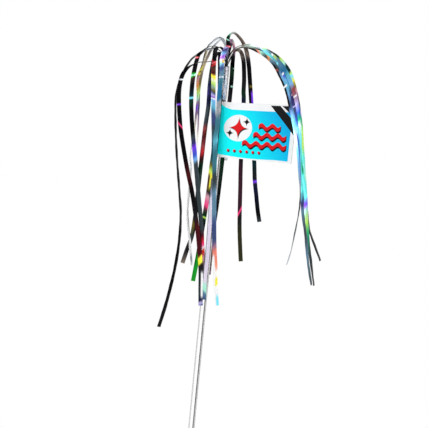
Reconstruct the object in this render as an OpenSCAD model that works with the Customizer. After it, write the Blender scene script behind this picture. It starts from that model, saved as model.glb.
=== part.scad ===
// Cat teaser wand: a clear plastic tube with film streamers glued into its mouth
// and a folded header card wrapped round it. Millimetres, +Z along the tube,
// origin at the centre of the butt end.

/* [Tube] */
// Length of the clear tube
tube_length = 610; // [560:5:700]
// Outside diameter of the tube
tube_d = 6.35; // [6:0.05:6.6]
// Wall thickness of the tube
tube_wall = 0.8; // [0.6:0.05:0.85]
// Chamfer on the two cut ends of the tube
tube_chamfer = 0.2; // [0.1:0.05:0.4]

/* [Streamers] */
// Width of each film streamer
film_w = 4.3; // [3.6:0.1:4.6]
// Thickness of each film streamer
film_t = 0.1; // [0.08:0.01:0.15]
// Width of a streamer where it is gathered into the mouth
pinch_w = 0.6; // [0.4:0.05:0.7]
// Length over which a streamer opens to its full width
opening_length = 22; // [20:1:26]
// Depth of the gathered roots inside the tube
root_depth = 34; // [20:1:60]
// Distance of the root ends below the rim of the mouth
root_setback = 1; // [0.5:0.1:2]
// Radius of the inner ring of roots
inner_ring_r = 0.8; // [0.7:0.05:0.9]
// Radius of the outer ring of roots
outer_ring_r = 1.8; // [1.7:0.05:1.9]

/* [Header card] */
// Height of the folded card
card_h = 54; // [40:1:60]
// Reach of the card's free edge from the tube's axis
card_reach = 81; // [60:1:81]
// Thickness of the card stock
card_t = 0.35; // [0.25:0.05:0.45]
// Distance of the card's top edge below the rim of the mouth
card_drop = 35; // [34:1:40]
// Running clearance between the tube and the card's fold
card_clearance = 0.1; // [0.05:0.01:0.1]
// Direction in which the card points, seen from above
card_angle = -32; // [-45:1:-20]
// Sideways bow of the card's leaves
card_bow = 3; // [1:0.5:5]

/* [Closing tape] */
// Width of the tape that holds the two leaves together
tape_w = 3; // [2:0.5:5]
// Thickness of the tape
tape_t = 0.2; // [0.15:0.05:0.3]
// Distance of the tape from the tube's axis
tape_offset = 9; // [8:0.5:12]
// Length of the tape's end that curls out under the card
tape_tail = 3.5; // [2:0.5:5]

/* [Hidden] */

tube_r = tube_d / 2;
bore_r = tube_r - tube_wall;
mouth_z = tube_length;
// One overrun serves every cut
overrun = 1;
// Gap between the gathered roots and the bore
root_gap = 0.04;
// Pleats round the gathered roots, and their height as a share of the bore
pleats = 11;
pleat_share = 0.06;
root_steps = 6;
root_twist = 40;
root_z = mouth_z - root_setback;
card_in_r = tube_r + card_clearance;
card_out_r = card_in_r + card_t;
card_z = mouth_z - card_drop - card_h;
round_steps = 64;

// Points on a route between two of its listed points
route_steps = 3;

// A root's place in the mouth: ring radius and direction in degrees
function root(r, turn) = [r * cos(turn), r * sin(turn)];

// Smooth curve through the listed points, each [x, y, z above the mouth, width direction]
function between(a, b, c, d, t) =
    0.5 * (2 * b + (c - a) * t + (2 * a - 5 * b + 4 * c - d) * t * t
        + (3 * b - a - 3 * c + d) * t * t * t);
function smooth_route(p) = let (last = len(p) - 1) [
    for (i = [0 : last - 1])
        for (k = [0 : route_steps - 1])
            between(p[max(i - 1, 0)], p[i], p[i + 1], p[min(i + 2, last)], k / route_steps),
    p[last]
];
function place(q) = [q[0], q[1], q[2]];
function unit(v) = v / norm(v);
function ease(t) = t * t * (3 - 2 * t);

// Running length of a route up to each of its points
function run_lengths(p, i = 0, sum = 0) = i >= len(p) ? [] :
    let (here = i == 0 ? 0 : sum + norm(place(p[i]) - place(p[i - 1])))
    concat([here], run_lengths(p, i + 1, here));

// One cross-section of a film streamer: four corners round a point of its route
function film_ring(p, i, run) =
    let (
        ahead = place(p[min(i + 1, len(p) - 1)]) - place(p[max(i - 1, 0)]),
        along = unit(ahead),
        level = [cos(p[i][3]), sin(p[i][3]), 0],
        across = unit(level - along * (level * along)),
        face = cross(along, across),
        w = pinch_w + (film_w - pinch_w) * ease(min(run / opening_length, 1)),
        c = place(p[i])
    )
    [
        c + across * w / 2 + face * film_t / 2,
        c - across * w / 2 + face * film_t / 2,
        c - across * w / 2 - face * film_t / 2,
        c + across * w / 2 - face * film_t / 2
    ];

// Two triangles between neighbouring rings. Both broad faces are cut along the
// same diagonal, so that they stay parallel where the film twists
function film_quad(a, b, first) = first
    ? [[a, a + 4, b], [b, a + 4, b + 4]]
    : [[a, a + 4, b + 4], [a, b + 4, b]];

// A film streamer along a smooth route, gathered narrow at its root
module streamer(route) {
    p = smooth_route(route);
    runs = run_lengths(p);
    rings = [for (i = [0 : len(p) - 1]) film_ring(p, i, runs[i])];
    n = len(rings);
    origin = [0, 0, mouth_z];
    translate(origin)
        polyhedron(
            points = [for (ring = rings) for (q = ring) q],
            faces = concat(
                [[0, 1, 2], [0, 2, 3]],
                [for (i = [0 : n - 2]) for (k = [0 : 3]) each
                    film_quad(4 * i + k, 4 * i + (k + 1) % 4, k < 2)],
                [[4 * n - 4, 4 * n - 2, 4 * n - 3], [4 * n - 4, 4 * n - 1, 4 * n - 2]]
            ),
            convexity = 6
        );
}

// Lean of a root as it leaves the mouth, as a share of its ring's radius
lean_share = 1.25;
// Where a root starts, and its first rise out of the mouth
function start(r, turn, face, rise) = [
    concat(root(r, turn), [-root_setback, face]),
    concat(root(r * lean_share, turn), [rise, face])
];

// Routes of the streamers, as they hang: x, y, height above the mouth, width direction
far_left = concat(start(outer_ring_r, 168, 90, 5), [
    [-4, 1.5, 11.5, 90], [-12, 1.5, 15.8, 90], [-20, 1.5, 14, 90], [-28, 1.5, 9.5, 90],
    [-36, 1, 1, 90],
    [-43, 0, -15, 90], [-46, 0, -31, 88], [-45.5, 0, -48, 85], [-41, 0, -86, 85],
    [-34, 0, -129, 85], [-31, 0, -149, 85], [-30, -1, -176, 82], [-32, -2, -206, 80],
    [-37, -3, -239, 80], [-42.5, -4, -265, 80]
]);
low_left = concat(start(outer_ring_r, 204, 114, 2), [
    [-8, -5.5, 4, 105], [-18, -8.5, 1, 100], [-28, -9, -1, 80], [-38, -8.5, -8, 45],
    [-42.5, -8, -18, 15],
    [-43, -8, -34, 10], [-40, -8, -57, 0], [-36.5, -8, -74, 0], [-29, -8, -102, 0],
    [-21, -9, -128, 0], [-13, -12, -161, 0], [-8, -14, -187, 0], [-5.5, -15, -204, 0],
    [-4, -14, -222, 0], [-2.5, -13, -237, 0]
]);
left_front = concat(start(inner_ring_r, 192, 102, 6), [
    [-4.5, -1.8, 14.5, 95], [-13, -3.4, 17.3, 95], [-19.7, -4.5, 15.2, 90], [-25, -5, 9.8, 60],
    [-28.5, -5, 4.5, 30],
    [-31, -6, -14, 5], [-31, -6, -34, 0], [-29, -7, -52, 0], [-26, -7, -70, 0],
    [-21.5, -8, -93, 0], [-15, -8, -128, 0], [-9, -9, -160, 0], [-7, -9, -175, 0],
    [-3.5, -9, -198, 0], [-2.5, -9, -206, 0]
]);
pale_outer = concat(start(inner_ring_r, 140, 60, 8), [
    [-4.5, 1.5, 22, 95], [-9, 1.5, 26.5, 95], [-15, 1.5, 22.5, 90], [-20, 2, 15.5, 85],
    [-23, 3, -1, 70],
    [-26.5, 3, -14, 60], [-25, 3, -33, 60], [-25, 2, -60, 65], [-26.5, 1, -90, 65],
    [-25, 0, -105, 60], [-24, -2, -149, 60], [-19, -3, -177, 60], [-15, -4, -199, 60]
]);
pale_inner = concat(start(inner_ring_r, 88, 155, 4), [
    [-0.8, 2.6, 10, 145], [-2.8, 4.6, 20, 95], [-6, 6, 26.5, 90], [-11, 8, 23, 90],
    [-17, 9, 14, 85], [-22, 9, -1, 70],
    [-24, 8, -14, 60], [-24, 7.5, -33, 60], [-22, 7, -60, 70], [-21, 7, -90, 80],
    [-19, 7, -120, 80]
]);
front_left = concat(start(inner_ring_r, 243, 153, 6), [
    [-4, -4.5, 13.5, 140], [-8.5, -8, 16.5, 145], [-11.5, -10, 13.5, 165], [-12, -11, 8, 180],
    [-12, -11, -2, 180], [-11, -11, -15, 180], [-9.5, -10, -33, 180], [-7, -9.5, -56, 180],
    [-4.5, -9.5, -81, 180], [-5, -9, -100, 180], [-5.5, -7, -120, 180], [-7, -5, -145, 180],
    [-10, -4, -188, 180], [-12.5, -4, -215, 180]
]);
back_left = concat(start(outer_ring_r, 132, 42, 5), [
    [-5, 5.5, 11, 50], [-9, 8.5, 13.5, 45], [-12.5, 9.5, 8, 20], [-14, 9, -5, 5], [-14.5, 8, -20, 0],
    [-14, 7, -40, 0], [-15, 6, -60, 0], [-15.5, 5, -82, 0], [-16, 4, -110, 0],
    [-16.5, 3, -148, 0], [-18, 3, -170, 0], [-22, 3, -186, 0], [-25, 3, -199, 0]
]);
front_centre = concat(start(outer_ring_r, 278, 0, 6), [
    [-1, -5, 15.5, 0], [-1.7, -8, 17, 0], [-2.7, -12, 13, 0], [-4.5, -14, 4, 0], [-3.7, -14, -9, 0],
    [-4, -14, -29, 0], [-3, -13.5, -57, 0], [-3.5, -13, -72, 0], [-2, -13, -98, 0],
    [0, -14, -122, 0], [3, -15, -154, 0], [5.5, -15, -177, 0], [8.5, -15, -198, 0],
    [10, -15, -213, 0], [13.5, -15, -235, 0]
]);
front_tube = concat(start(outer_ring_r, 241, 0, 4), [
    [-4.2, -3.8, 9, 150], [-6.5, -6, 12, 165], [-7, -8, 10, 180], [-6.5, -8.5, 4, 180],
    [-5, -8, -12, 180],
    [-3, -7, -40, 180], [-2.5, -6.5, -80, 180], [-2, -8, -110, 180], [-2, -10, -132, 180],
    [-1.5, -11, -150, 180], [-1, -12, -168, 180], [-0.8, -12, -187, 180], [-0.8, -12, -208, 180],
    [0.3, -12, -231, 180]
]);
back_tube = concat(start(outer_ring_r, 78, 170, 8), [
    [1.6, 5.5, 22, 160], [1.8, 8.5, 27.8, 150], [5.5, 11, 22.5, 125], [6.5, 11, 16, 130], [6, 10, 5, 165],
    [6.5, 9, -11, 180], [6.5, 9, -35, 180], [5.5, 9, -70, 180], [5, 8, -98, 180],
    [4, 8, -137, 180], [2, 8, -173, 180], [2.5, 8, -188, 180], [2.5, 8, -209, 180]
]);
back_right = concat(start(outer_ring_r, 42, 110, 5), [
    [5, 4, 13, 115], [9, 7, 17.5, 115], [13, 9, 16.5, 120], [16, 10, 10, 150], [17.5, 11, 3, 170],
    [19, 11, -10, 180], [19.7, 12, -22, 180], [21, 12, -35, 180], [24, 12, -92, 180],
    [26, 12, -118, 180], [29, 12, -156, 180], [32.5, 12, -183, 180], [34, 12, -193, 180]
]);
tall_loop = concat(start(inner_ring_r, 36, -40, 8), [
    [0, 1.8, 20, 0], [-1, 3, 27, 35], [2, 4, 32.5, 90], [6, 5, 33, 100], [12, 6, 28, 110],
    [17, 8, 21, 130], [20, 9, 13, 150], [22.5, 10, 3, 170], [25, 12, -11, 180],
    [29, 13, -35, 180], [33, 14, -60, 180], [37.5, 15, -90, 180], [40, 15, -109, 180],
    [43, 15, -124, 180], [46, 15, -139, 180], [49, 15, -151, 180]
]);
right_inner = concat(start(outer_ring_r, 314, 45, 4), [
    [7, -7.5, 14.5, 50], [15.5, -14, 17.5, 52], [25.5, -22, 14.8, 52], [35.5, -30, 8.8, 52],
    [44, -39, 0.5, 50],
    [50, -46, -10, 48], [56, -53, -22, 46], [60.5, -60, -37, 42], [65.5, -63, -54, 40],
    [71.5, -64.5, -78, 40], [75, -65, -98, 55], [77.5, -65, -115, 75], [78, -65, -130, 80],
    [76.5, -65, -149, 80], [74.5, -65, -168, 80], [72, -65, -180, 80]
]);
right_mid = concat(start(inner_ring_r, 294, 28, 5), [
    [2, -2.2, 11, 45], [8, -6.5, 16.5, 52], [17, -12.8, 18.7, 52], [27, -20, 16.8, 52],
    [37, -27.5, 11, 52],
    [45.5, -35.5, 2.5, 50], [52.5, -43.5, -8, 48], [58, -50.5, -20, 46], [63.5, -56.5, -36, 42],
    [68, -60, -54, 40], [73, -61.5, -80, 40], [76.5, -61, -100, 50], [80, -60.5, -118, 65],
    [82, -61, -132, 80], [87, -61, -153, 80], [91.5, -61, -176, 80], [97, -61, -197, 80]
]);
right_near = concat(start(outer_ring_r, 346, 60, 3.5), [
    [8, -4, 15.2, 56], [17.5, -10, 20, 54], [28, -17, 18, 52], [38.5, -25, 12.5, 52],
    [47.5, -33.5, 4.8, 50], [55, -42, -5.5, 48], [61.2, -49.4, -18.5, 46], [67.2, -54.5, -35.5, 42],
    [71, -55.8, -53, 40], [74.5, -57, -79, 40], [78, -57.5, -97, 40], [82.3, -57, -113, 50],
    [85.5, -56.5, -131, 70], [90, -57, -156, 80], [94.5, -57, -175, 80], [100, -57, -198, 80]
]);
right_outer = concat(start(inner_ring_r, 345, 72, 7), [
    [6.5, -1.5, 17.5, 56], [16.5, -7, 21.2, 54], [28.5, -14.5, 19.3, 52], [39.5, -22, 14, 52],
    [50, -30.5, 6.2, 50], [58, -38.3, -4.3, 48], [63.5, -45.5, -18, 46], [68.5, -50.5, -35, 42],
    [72.5, -53, -53, 40], [77, -54, -78, 40], [80.5, -54, -97, 40], [83.5, -53.5, -115, 50],
    [86.5, -53, -132, 60], [90.6, -52.4, -147, 75], [96, -53, -159, 80], [104, -53, -175, 80]
]);

// Clear tube with an open bore and both rims lightly chamfered
module rod_tube() {
    color([0.9, 0.92, 0.93, 0.5])
        rotate_extrude($fn = round_steps)
            polygon([
                [bore_r, 0], [tube_r - tube_chamfer, 0], [tube_r, tube_chamfer],
                [tube_r, tube_length - tube_chamfer], [tube_r - tube_chamfer, tube_length],
                [bore_r, tube_length]
            ]);
}

// Outline of the gathered roots: film pleated round a full bore
function pleat_line(r) = [
    for (i = [0 : round_steps - 1])
        let (turn = i * 360 / round_steps, fold = (1 + cos(pleats * turn)) / 2)
        root(r * (1 - pleat_share * 2 * (1 - fold)), turn)
];
module root_wad() {
    color([0.35, 0.5, 0.72])
        translate([0, 0, root_z - root_depth])
            linear_extrude(height = root_depth, twist = root_twist, slices = root_steps)
                polygon(pleat_line(bore_r - root_gap));
}

module streamer_far_left() { color([0.08, 0.08, 0.1]) streamer(far_left); }
module streamer_low_left() { color([0.1, 0.08, 0.1]) streamer(low_left); }
module streamer_left_front() { color([0.07, 0.11, 0.12]) streamer(left_front); }
module streamer_pale_outer() { color([0.88, 0.85, 0.75]) streamer(pale_outer); }
module streamer_pale_inner() { color([0.75, 0.66, 0.5]) streamer(pale_inner); }
module streamer_front_left() { color([0.55, 0.6, 0.4]) streamer(front_left); }
module streamer_back_left() { color([0.25, 0.15, 0.3]) streamer(back_left); }
module streamer_front_centre() { color([0.45, 0.6, 0.68]) streamer(front_centre); }
module streamer_front_tube() { color([0.85, 0.83, 0.92]) streamer(front_tube); }
module streamer_back_tube() { color([0.1, 0.13, 0.11]) streamer(back_tube); }
module streamer_back_right() { color([0.07, 0.07, 0.08]) streamer(back_right); }
module streamer_tall_loop() { color([0.15, 0.12, 0.2]) streamer(tall_loop); }
module streamer_right_inner() { color([0.3, 0.5, 0.75]) streamer(right_inner); }
module streamer_right_mid() { color([0.35, 0.62, 0.75]) streamer(right_mid); }
module streamer_right_near() { color([0.3, 0.75, 0.75]) streamer(right_near); }
module streamer_right_outer() { color([0.45, 0.7, 0.5]) streamer(right_outer); }

// Gap between the tape and each leaf
tape_seat = 0.02;
leaf_gap = tape_t + 2 * tape_seat;
leaf_steps = 16;
fold_steps = 24;
// The fold is drawn a little inside its bore, which is then cut round
fold_draw_share = 0.25;
fold_draw_r = card_in_r - card_t * fold_draw_share;
// Angle at which a leaf leaves the fold, so that it runs straight to the tape
leave_angle = acos(card_in_r / tape_offset);

// The folded card in plan: the fold hugs the tube, then both leaves run to
// the tape and on to the free edge in a shallow bow
function bow_at(x) = card_bow * sin(180 * (x - tape_offset) / (card_reach - tape_offset));
function leaf_line(offset) = [
    for (i = [0 : leaf_steps])
        let (x = tape_offset + (card_reach - tape_offset) * i / leaf_steps)
        [x, bow_at(x) + offset]
];
function fold_line(r) = [
    for (i = [0 : fold_steps])
        let (turn = leave_angle + (360 - 2 * leave_angle) * i / fold_steps)
        r * [cos(turn), sin(turn)]
];
function backwards(p) = [for (i = [len(p) - 1 : -1 : 0]) p[i]];
card_outline = concat(
    backwards(leaf_line(leaf_gap / 2 + card_t)), fold_line(card_out_r),
    leaf_line(-leaf_gap / 2 - card_t), backwards(leaf_line(-leaf_gap / 2)),
    backwards(fold_line(fold_draw_r)), leaf_line(leaf_gap / 2)
);
module tag_card() {
    color([0.1, 0.85, 0.95])
        translate([0, 0, card_z])
            rotate([0, 0, card_angle])
                difference() {
                    linear_extrude(height = card_h) polygon(card_outline);
                    translate([0, 0, -overrun])
                        cylinder(r = card_in_r, h = card_h + 2 * overrun, $fn = round_steps);
                }
}

// Clear tape between the leaves, with its end curling forward under the card
tail_steps = 6;
tail_turn = 70;
leaf_slope = (leaf_line(0)[1][1] - leaf_line(0)[0][1]) / (leaf_line(0)[1][0] - leaf_line(0)[0][0]);
module tape_strip() {
    curl_r = tape_tail / (tail_turn * PI / 180);
    side = concat(
        [[tape_t / 2, card_h], [-tape_t / 2, card_h]],
        [for (i = [0 : tail_steps])
            let (turn = tail_turn * i / tail_steps, r = curl_r - tape_t / 2)
            [-curl_r + r * cos(turn), -r * sin(turn)]],
        [for (i = [tail_steps : -1 : 0])
            let (turn = tail_turn * i / tail_steps, r = curl_r + tape_t / 2)
            [-curl_r + r * cos(turn), -r * sin(turn)]]
    );
    rotate([90, 0, 90])
        linear_extrude(height = tape_w) polygon(side);
}
module tag_tape() {
    color([0.85, 0.87, 0.88, 0.6])
        translate([0, 0, card_z])
            rotate([0, 0, card_angle])
                translate([tape_offset + tape_seat, leaf_slope * tape_seat, 0])
                    rotate([0, 0, atan(leaf_slope)])
                        tape_strip();
}

rod_tube();
root_wad();
streamer_far_left();
streamer_low_left();
streamer_left_front();
streamer_pale_outer();
streamer_pale_inner();
streamer_front_left();
streamer_back_left();
streamer_front_centre();
streamer_front_tube();
streamer_back_tube();
streamer_back_right();
streamer_tall_loop();
streamer_right_inner();
streamer_right_mid();
streamer_right_near();
streamer_right_outer();
tag_card();
tag_tape();
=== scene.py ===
import logging
import math
from dataclasses import dataclass, field
from enum import Enum

import bpy
import numpy as np
from mathutils import Matrix, Vector


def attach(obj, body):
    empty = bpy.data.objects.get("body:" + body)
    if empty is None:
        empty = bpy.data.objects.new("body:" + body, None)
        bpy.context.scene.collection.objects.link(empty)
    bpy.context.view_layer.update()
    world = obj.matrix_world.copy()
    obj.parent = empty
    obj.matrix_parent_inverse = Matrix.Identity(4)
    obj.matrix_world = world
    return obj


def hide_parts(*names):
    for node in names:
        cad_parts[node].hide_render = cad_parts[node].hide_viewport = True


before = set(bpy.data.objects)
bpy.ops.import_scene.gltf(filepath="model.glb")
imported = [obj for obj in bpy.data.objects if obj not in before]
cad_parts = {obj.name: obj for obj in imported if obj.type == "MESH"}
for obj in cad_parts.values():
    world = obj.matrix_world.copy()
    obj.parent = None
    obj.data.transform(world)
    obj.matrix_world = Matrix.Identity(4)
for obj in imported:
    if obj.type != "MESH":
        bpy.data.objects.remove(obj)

log = logging.getLogger("wand")
MM = 0.001
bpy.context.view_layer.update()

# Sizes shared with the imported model, in millimetres
TUBE_LENGTH = 610.0
TUBE_D = 6.35
TUBE_WALL = 0.8
TUBE_CHAMFER = 0.2
FILM_W = 4.3
FILM_T = 0.08
PINCH_W = 0.6
OPENING_LENGTH = 22.0
ROOT_DEPTH = 34.0
ROOT_SETBACK = 1.0
INNER_RING_R = 0.8
OUTER_RING_R = 1.8
LEAN_SHARE = 1.25
CARD_ANGLE = -32.0
CARD_FOOT = 521.0
CARD_H = 54.0
CARD_REACH = 81.0

# Height of a printed wave as a share of its length
WAVE_HEIGHT_SHARE = 1 / 7


class Tint(Enum):
    """Colours of the holographic film, as sRGB values from 0 to 255. On the streamers they are painted
    light: painted reflections, painted highlights and painted shade, laid out by place.
    """

    BLACK = (9, 9, 12)
    SOOT = (30, 29, 33)
    SLATE = (54, 64, 68)
    PLUM = (56, 30, 42)
    DENIM = (62, 78, 124)
    TEAL = (62, 116, 132)
    AQUA = (94, 178, 200)
    DARK_TEAL = (12, 44, 50)
    NAVY = (22, 26, 56)
    DARK_GREEN = (14, 46, 28)
    OLIVE = (112, 98, 40)
    MOSS = (50, 50, 32)
    BROWN = (82, 56, 42)
    TAUPE = (132, 118, 108)
    MAROON = (74, 20, 26)
    BRICK = (150, 64, 66)
    RED = (206, 36, 48)
    PINK = (246, 66, 132)
    CORAL = (232, 104, 116)
    ORCHID = (150, 96, 196)
    ROSE = (212, 160, 172)
    MAUVE = (150, 112, 142)
    SALMON = (240, 140, 118)
    ORANGE = (240, 142, 70)
    TAN = (196, 178, 138)
    CREAM = (240, 234, 214)
    YELLOW = (246, 236, 74)
    LIME = (190, 232, 104)
    MINT = (172, 238, 212)
    SAGE = (146, 178, 160)
    MARINE = (40, 108, 148)
    GREEN = (24, 152, 34)
    EMERALD = (16, 156, 104)
    TURQUOISE = (98, 226, 220)
    CYAN = (130, 232, 250)
    SKY = (122, 180, 232)
    BLUE = (56, 84, 196)
    STEEL = (96, 134, 158)
    INDIGO = (52, 46, 104)
    VIOLET = (124, 62, 232)
    LILAC = (196, 186, 238)
    GREY = (150, 154, 160)
    PEARL = (224, 216, 234)
    SILVER = (206, 212, 218)
    WHITE = (250, 250, 252)

    @property
    def linear(self) -> np.ndarray:
        """The tint as linear RGB."""
        return to_linear(self.value)


def to_linear(srgb: tuple[float, float, float]) -> np.ndarray:
    """Turn an sRGB colour into linear light.

    Args:
        srgb: Three values from 0 to 255.

    Returns:
        Three linear values from 0 to 1, by the sRGB transfer curve.
    """
    c = np.asarray(srgb, float) / 255
    return np.where(c <= 0.04045, c / 12.92, ((c + 0.055) / 1.055) ** 2.4)


def rgba(srgb: tuple[float, float, float]) -> tuple[float, float, float, float]:
    """An sRGB colour from 0 to 255 as a linear RGBA tuple for a socket."""
    return (*[float(v) for v in to_linear(srgb)], 1.0)


@dataclass(frozen=True)
class Viewpoint:
    """The photograph's camera: a touch above the object and rolled a few degrees."""

    aim: tuple[float, float, float] = (2.0, 0.0, 463.9)
    distance: float = 650.0
    elevation: float = 5.0
    roll: float = 5.52
    frame_px: float = 428.0
    sensor: float = 36.0

    def build(self) -> None:
        """Make the camera, one pixel to the millimetre at the tube's axis."""
        lift, roll = math.radians(self.elevation), math.radians(self.roll)
        level_up = Vector((0, math.sin(lift), math.cos(lift)))
        back = Vector((0, -math.cos(lift), math.sin(lift)))
        right = Vector((math.cos(roll), 0, 0)) + level_up * math.sin(roll)
        up = level_up * math.cos(roll) - Vector((math.sin(roll), 0, 0))
        data = bpy.data.cameras.new("photo_camera")
        data.sensor_width = self.sensor
        data.lens = self.sensor * self.distance / self.frame_px
        data.clip_start, data.clip_end = 0.01, 20
        camera = bpy.data.objects.new("photo_camera", data)
        turn = Matrix((right, up, back)).transposed().to_4x4()
        place = (Vector(self.aim) + back * self.distance) * MM
        camera.matrix_world = Matrix.Translation(place) @ turn
        bpy.context.scene.collection.objects.link(camera)
        bpy.context.scene.camera = camera


def ease(t: np.ndarray) -> np.ndarray:
    """Smooth step of values clipped to 0 to 1: 3t squared less 2t cubed."""
    t = np.clip(t, 0, 1)
    return t * t * (3 - 2 * t)


def new_object(name: str, mesh: bpy.types.Mesh) -> bpy.types.Object:
    """Link a mesh to the scene as an object at the origin."""
    piece = bpy.data.objects.new(name, mesh)
    bpy.context.scene.collection.objects.link(piece)
    return piece


def loop_mesh(
    name: str, rings: np.ndarray, sharp: float = 40.0, capped: bool = True
) -> bpy.types.Mesh:
    """Skin a stack of closed rings, with a cap on each end or joined end to end.

    Point k of ring i joins point k of ring i + 1 and point k + 1 of both, which
    wraps round the ring. A ring runs clockwise as seen from the next one.

    Args:
        name: Name of the mesh.
        rings: Array of shape (rings, points, 3), in millimetres.
        sharp: Edges that turn by more than this many degrees stay sharp.
        capped: Whether the ends are capped. Otherwise the last ring joins the first.

    Returns:
        The mesh in metres, with smooth shading between its sharp edges.
    """
    count, around = rings.shape[:2]
    index = np.arange(count * around).reshape(count, around)
    caps = [index[0].tolist(), index[-1][::-1].tolist()] if capped else []
    if not capped:
        index = np.concatenate([index, index[:1]])
    after = np.roll(index, -1, axis=1)
    quads = np.stack([index[:-1], index[1:], after[1:], after[:-1]], -1).reshape(-1, 4)
    mesh = bpy.data.meshes.new(name)
    mesh.from_pydata((rings.reshape(-1, 3) * MM).tolist(), [], quads.tolist() + caps)
    mesh.update()
    mesh.shade_smooth()
    mesh.set_sharp_from_angle(angle=math.radians(sharp))
    return mesh


def paint(mesh: bpy.types.Mesh, name: str, values: np.ndarray) -> None:
    """Store one value or colour for each vertex of a mesh.

    Args:
        mesh: The mesh.
        name: Name of the attribute.
        values: Array of shape (vertices,) for numbers or (vertices, 3) for colours.
    """
    if values.ndim == 1:
        layer = mesh.attributes.new(name, "FLOAT", "POINT")
        layer.data.foreach_set("value", values.astype(np.float32))
        return
    full = np.concatenate([values, np.ones((len(values), 1))], axis=1)
    layer = mesh.attributes.new(name, "FLOAT_COLOR", "POINT")
    layer.data.foreach_set("color", full.astype(np.float32).ravel())


@dataclass(frozen=True)
class Glint:
    """A painted highlight: a narrow bright bar across a streamer.

    Attributes:
        drop: How far below the mouth it lies, in millimetres.
        tint: Its colour.
        half: Half its breadth along the streamer, in millimetres.
        slant: How far it climbs from one edge of the film to the other.
        low: Where it starts across the film, from -1 to 1.
        high: Where it ends across the film, from -1 to 1.
    """

    drop: float
    tint: Tint
    half: float = 1.0
    slant: float = 0.5
    low: float = -1.0
    high: float = 1.0


@dataclass(frozen=True)
class Flank:
    """A stretch of painted light along one edge of a streamer: pale and coloured ones are painted
    highlights, dark ones painted shade.

    Attributes:
        top: Where it starts, in millimetres below the mouth.
        bottom: Where it ends.
        edge: The edge that it runs along, -1 or 1.
        tint: Its colour.
        share: How much of the width it takes.
    """

    top: float
    bottom: float
    edge: int
    tint: Tint
    share: float = 0.5


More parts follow.
